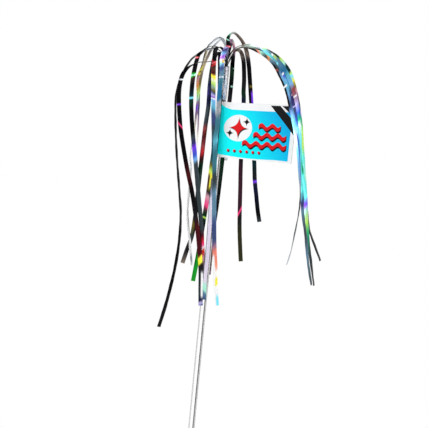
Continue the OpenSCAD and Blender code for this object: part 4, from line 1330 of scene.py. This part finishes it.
@dataclass(frozen=True)
class CardPrint:
    """Generic print of the header card, in the card's own millimetres.

    Attributes:
        white: Tint of the border and the oval.
        black: Tint of the corner band and the shadows.
        red: Tint of the stripes, dots and one sparkle.
        panel: Heights of the panel's foot and top, and where it ends.
        lift: Breadth by the fold where the top edge rises, and how fast.
        sag: Breadth over which the foot sags, its depth and the foot's slope.
        deepens: Where the cyan starts to deepen and where it is deepest.
        oval: Centre and half sizes of the white oval.
        sparkles: Centre and reach of each sparkle, and whether it is red.
        waves: Start, end and height of each stripe.
        wave_length: Length of one wave.
        wave_half: Half a stripe's thickness, then its shadow's.
        wave_shadow: Shift of a shadow's start, end and height.
        dots: Start, end and height of the row, its step and the dots' radius.
        dot_shadow: Shift of the dots' shadow across and up, and its radius.
    """

    white: tuple[int, int, int] = (250, 250, 250)
    black: tuple[int, int, int] = (8, 8, 11)
    red: tuple[int, int, int] = (226, 18, 26)
    panel: tuple[float, float, float] = (2.9, 47.2, 77.0)
    lift: tuple[float, float] = (13.0, 0.03)
    sag: tuple[float, float, float] = (62.0, -1.3, -0.016)
    deepens: tuple[float, float] = (22.0, 100.0)
    oval: tuple[float, float, float, float] = (20.0, 29.6, 14.6, 12.8)
    sparkles: tuple[tuple[float, float, float, bool], ...] = (
        (20.8, 29.2, 12.0, False), (20.0, 30.0, 11.0, True),
        (28.4, 36.0, 5.0, False), (11.6, 24.4, 5.0, False),
    )
    waves: tuple[tuple[float, float, float], ...] = (
        (41.4, 65.4, 32.2), (36.4, 72.4, 23.6), (25.4, 73.4, 15.0),
    )
    wave_length: float = 12.0
    wave_half: tuple[float, float] = (1.9, 2.5)
    wave_shadow: tuple[float, float, float] = (0.8, 0.9, -1.0)
    dots: tuple[float, float, float, float, float] = (8.0, 47.6, 7.5, 6.6, 1.3)
    dot_shadow: tuple[float, float, float] = (0.6, -0.5, 1.5)

    def build(self) -> bpy.types.NodeTree:
        """Make the node group that draws the print.

        A cyan panel inside a white border, deeper towards the free edge, with a
        black corner band. On it a white oval with sparkles, level wavy stripes in
        red with black shadows and a row of red dots.

        Returns:
            The group, which puts out the colour and where there is ink.
        """
        tree = new_group(
            "card_print",
            {"Across": ("NodeSocketFloat", 0.0), "Up": ("NodeSocketFloat", 0.0)},
            {"Color": "NodeSocketColor", "Ink": "NodeSocketFloat"},
        )
        given = Graph(tree).node("NodeGroupInput").outputs
        g = PrintGraph(tree, given["Across"], given["Up"])
        colour, ink = self.ground(g)
        for mask, srgb in (*self.corner(g), *self.motifs(g)):
            colour = g.blend(mask, colour, rgba(srgb))
            ink = g.either(ink, mask)
        g.node("NodeGroupOutput", {"Color": colour, "Ink": ink})
        return tree

    def ground(self, g: PrintGraph) -> tuple[bpy.types.NodeSocket, bpy.types.NodeSocket]:
        """Colour of the border and the panel, and the panel's mask."""
        foot_up, top_up, right = self.panel
        lift = g.math("MAXIMUM", g.math("SUBTRACT", self.lift[0], g.across), 0.0)
        top = g.math("MULTIPLY_ADD", g.math("MULTIPLY", lift, lift), self.lift[1], top_up)
        reach, depth, slope = self.sag
        sag = g.math("SINE", g.math("MULTIPLY", g.math("MINIMUM", g.across, reach), math.pi / reach))
        foot = g.math("MULTIPLY_ADD", sag, depth, g.math("MULTIPLY_ADD", g.across, slope, foot_up))
        panel = g.both(
            g.inside(g.math("SUBTRACT", g.up, top)),
            g.inside(g.math("SUBTRACT", foot, g.up)),
            g.left_of(right),
        )
        tilt = g.math("MULTIPLY_ADD", g.up, 0.5, g.across)
        deep = g.spread(tilt, *self.deepens, 0.0, 1.0)
        cyan = g.blend(deep, rgba((0, 252, 255)), rgba((0, 176, 238)))
        return g.blend(panel, rgba(self.white), cyan), panel

    def corner(self, g: PrintGraph) -> list[tuple[bpy.types.NodeSocket, tuple]]:
        """Black band across the upper outer corner."""
        band = g.both(g.above(52.8, 52.3, -0.94), g.below(63.0, 52.6, -0.84), g.below(0, 52.8, 0))
        tip = g.both(g.above(65.4, 52.5, -0.72), g.below(0, 52.8, 0), g.left_of(79.6))
        return [(g.either(band, tip), self.black)]

    def motifs(self, g: PrintGraph) -> list[tuple[bpy.types.NodeSocket, tuple]]:
        """Masks and tints of the oval, the sparkles, the stripes and the dots, in order."""
        laid = [(g.oval(*self.oval), self.white)]
        for x0, y0, reach, is_red in self.sparkles:
            laid.append((g.sparkle(x0, y0, reach), self.red if is_red else self.black))
        half, shadow_half = self.wave_half
        start, end, drop = self.wave_shadow
        for x0, x1, y0 in self.waves:
            shadow = g.wave(x0 + start, x1 + end, y0 + drop, shadow_half, self.wave_length)
            laid.append((shadow, self.black))
            laid.append((g.wave(x0, x1, y0, half, self.wave_length), self.red))
        x0, x1, y0, step, radius = self.dots
        across, up, shadow_radius = self.dot_shadow
        laid.append((g.dots(x0 + across, x1 + across, y0 + up, step, shadow_radius), self.black))
        laid.append((g.dots(x0, x1, y0, step, radius), self.red))
        return laid


@dataclass(frozen=True)
class PrintedCard:
    """Coated card stock, printed on both outer faces, bare white inside.

    Attributes:
        name: Name of the material.
        bow: Sideways bow of the leaves, in millimetres.
        seam: Distance of the tape from the tube's axis, where the bow starts.
        scuff: Breadth of the worn rim.
    """

    name: str = "printed_card"
    bow: float = 3.0
    seam: float = 9.0
    scuff: float = 0.7

    def build(self, printed: bpy.types.NodeTree) -> bpy.types.Material:
        """Make the material.

        The object's coordinates are turned back by the card's angle. A face is an
        outer one where its normal points away from the middle plane between the
        leaves, which bows as a half sine from the tape to the free edge.

        Args:
            printed: The group that draws the print.

        Returns:
            The material.
        """
        material, g, shader = new_material(self.name)
        source = g.node("ShaderNodeTexCoord").outputs
        back = (0.0, 0.0, math.radians(-CARD_ANGLE))
        at = g.node("ShaderNodeMapping", {0: source["Object"], 2: back, 3: (1 / MM,) * 3})
        place = g.node("ShaderNodeSeparateXYZ", {0: at.outputs[0]}).outputs
        turned = g.node("ShaderNodeMapping", {0: source["Normal"], 2: back}, vector_type="NORMAL")
        normal = g.node("ShaderNodeSeparateXYZ", {0: turned.outputs[0]}).outputs
        up = g.math("SUBTRACT", place[2], CARD_FOOT)
        share = g.math("DIVIDE", g.math("SUBTRACT", place[0], self.seam), CARD_REACH - self.seam)
        share = g.math("MAXIMUM", share, 0.0)
        middle = g.math("MULTIPLY", g.math("SINE", g.math("MULTIPLY", share, math.pi)), self.bow)
        beside = g.math("MULTIPLY", g.math("SUBTRACT", place[1], middle), normal[1])
        behind = g.math("MULTIPLY", g.math("MINIMUM", place[0], 0.0), normal[0])
        outer = g.spread(g.math("ADD", beside, behind), 0.02, 0.12, 0.0, 1.0)
        made = g.group(printed, {"Across": place[0], "Up": up})
        fibre = g.node("ShaderNodeTexNoise", {
            "Vector": at.outputs[0], "Scale": 1.6, "Detail": 5.0, "Roughness": 0.65,
        }).outputs["Fac"]
        stock = g.blend(fibre, (0.78, 0.78, 0.76, 1), (0.94, 0.94, 0.93, 1))
        mottled = g.blend(g.spread(fibre, 0.4, 0.75, 0.0, 0.012), made.outputs["Color"], stock)
        rim = g.math("MINIMUM", up, g.math("SUBTRACT", CARD_H, up))
        rim = g.math("MINIMUM", rim, g.math("SUBTRACT", CARD_REACH, place[0]))
        worn = g.math("MULTIPLY", g.spread(rim, 0.0, self.scuff, 1.0, 0.0), fibre)
        inked = g.math("MULTIPLY", outer, g.math("SUBTRACT", 1.0, worn))
        colour = g.blend(inked, stock, mottled)
        gloss = g.spread(fibre, 0.3, 0.7, 0.26, 0.4)
        matt = g.math("SUBTRACT", 1.0, outer)
        rough = g.math("MULTIPLY_ADD", matt, 0.35, gloss)
        bump = g.node("ShaderNodeBump", {"Strength": 0.15, "Distance": 0.05 * MM, "Height": fibre})
        g.tree.links.new(colour, shader.inputs["Base Color"])
        g.tree.links.new(rough, shader.inputs["Roughness"])
        g.tree.links.new(bump.outputs[0], shader.inputs["Normal"])
        shader.inputs["Specular IOR Level"].default_value = 0.12
        return material


@dataclass(frozen=True)
class ClearTape:
    """Clear tape with a faint drawn grain."""

    name: str = "clear_tape"

    def build(self) -> bpy.types.Material:
        """Make the material."""
        material, g, shader = new_material(self.name)
        at = g.node("ShaderNodeTexCoord").outputs["Object"]
        drawn = g.node("ShaderNodeMapping", {0: at, 3: (2 / MM, 2 / MM, 0.15 / MM)})
        noise = g.node("ShaderNodeTexNoise", {"Vector": drawn.outputs[0], "Detail": 3.0, "Scale": 1.0})
        tone = g.blend(noise.outputs["Fac"], (0.5, 0.52, 0.54, 1), (0.86, 0.88, 0.9, 1))
        rough = g.spread(noise.outputs["Fac"], 0.3, 0.7, 0.12, 0.28)
        g.tree.links.new(tone, shader.inputs["Base Color"])
        g.tree.links.new(rough, shader.inputs["Roughness"])
        shader.inputs["Transmission Weight"].default_value = 0.75
        shader.inputs["IOR"].default_value = 1.47
        return material


@dataclass
class Wand:
    """The tube with the film in its mouth."""

    film: HolographicFilm = HolographicFilm("holographic_film")

    def build(self) -> None:
        """Build the streamers and the roots, and finish the tube."""
        material = self.film.build(film_group())
        for seed, streamer in enumerate(STREAMERS):
            streamer.build(material, seed)
        RootWad().build(CrumpledFilm().build())
        ClearTube().build(ClearPlastic().build())


@dataclass
class HeaderCard:
    """The folded card and the tape between its leaves."""

    def build(self) -> None:
        """Finish the card and the tape."""
        finish(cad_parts["tag_card"], PrintedCard().build(CardPrint().build()))
        finish(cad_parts["tag_tape"], ClearTape().build())


def finish(node: bpy.types.Object, material: bpy.types.Material) -> None:
    """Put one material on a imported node."""
    node.data.materials.clear()
    node.data.materials.append(material)
    log.info("%s: finished with %s", node.name, material.name)


def main() -> None:
    """Build the camera, the wand, the card and the studio in order."""
    logging.basicConfig(level=logging.INFO, format="%(name)s: %(message)s")
    Viewpoint().build()
    Wand().build()
    HeaderCard().build()
    Studio().build()
    bpy.context.view_layer.update()


if __name__ == "__main__":
    main()
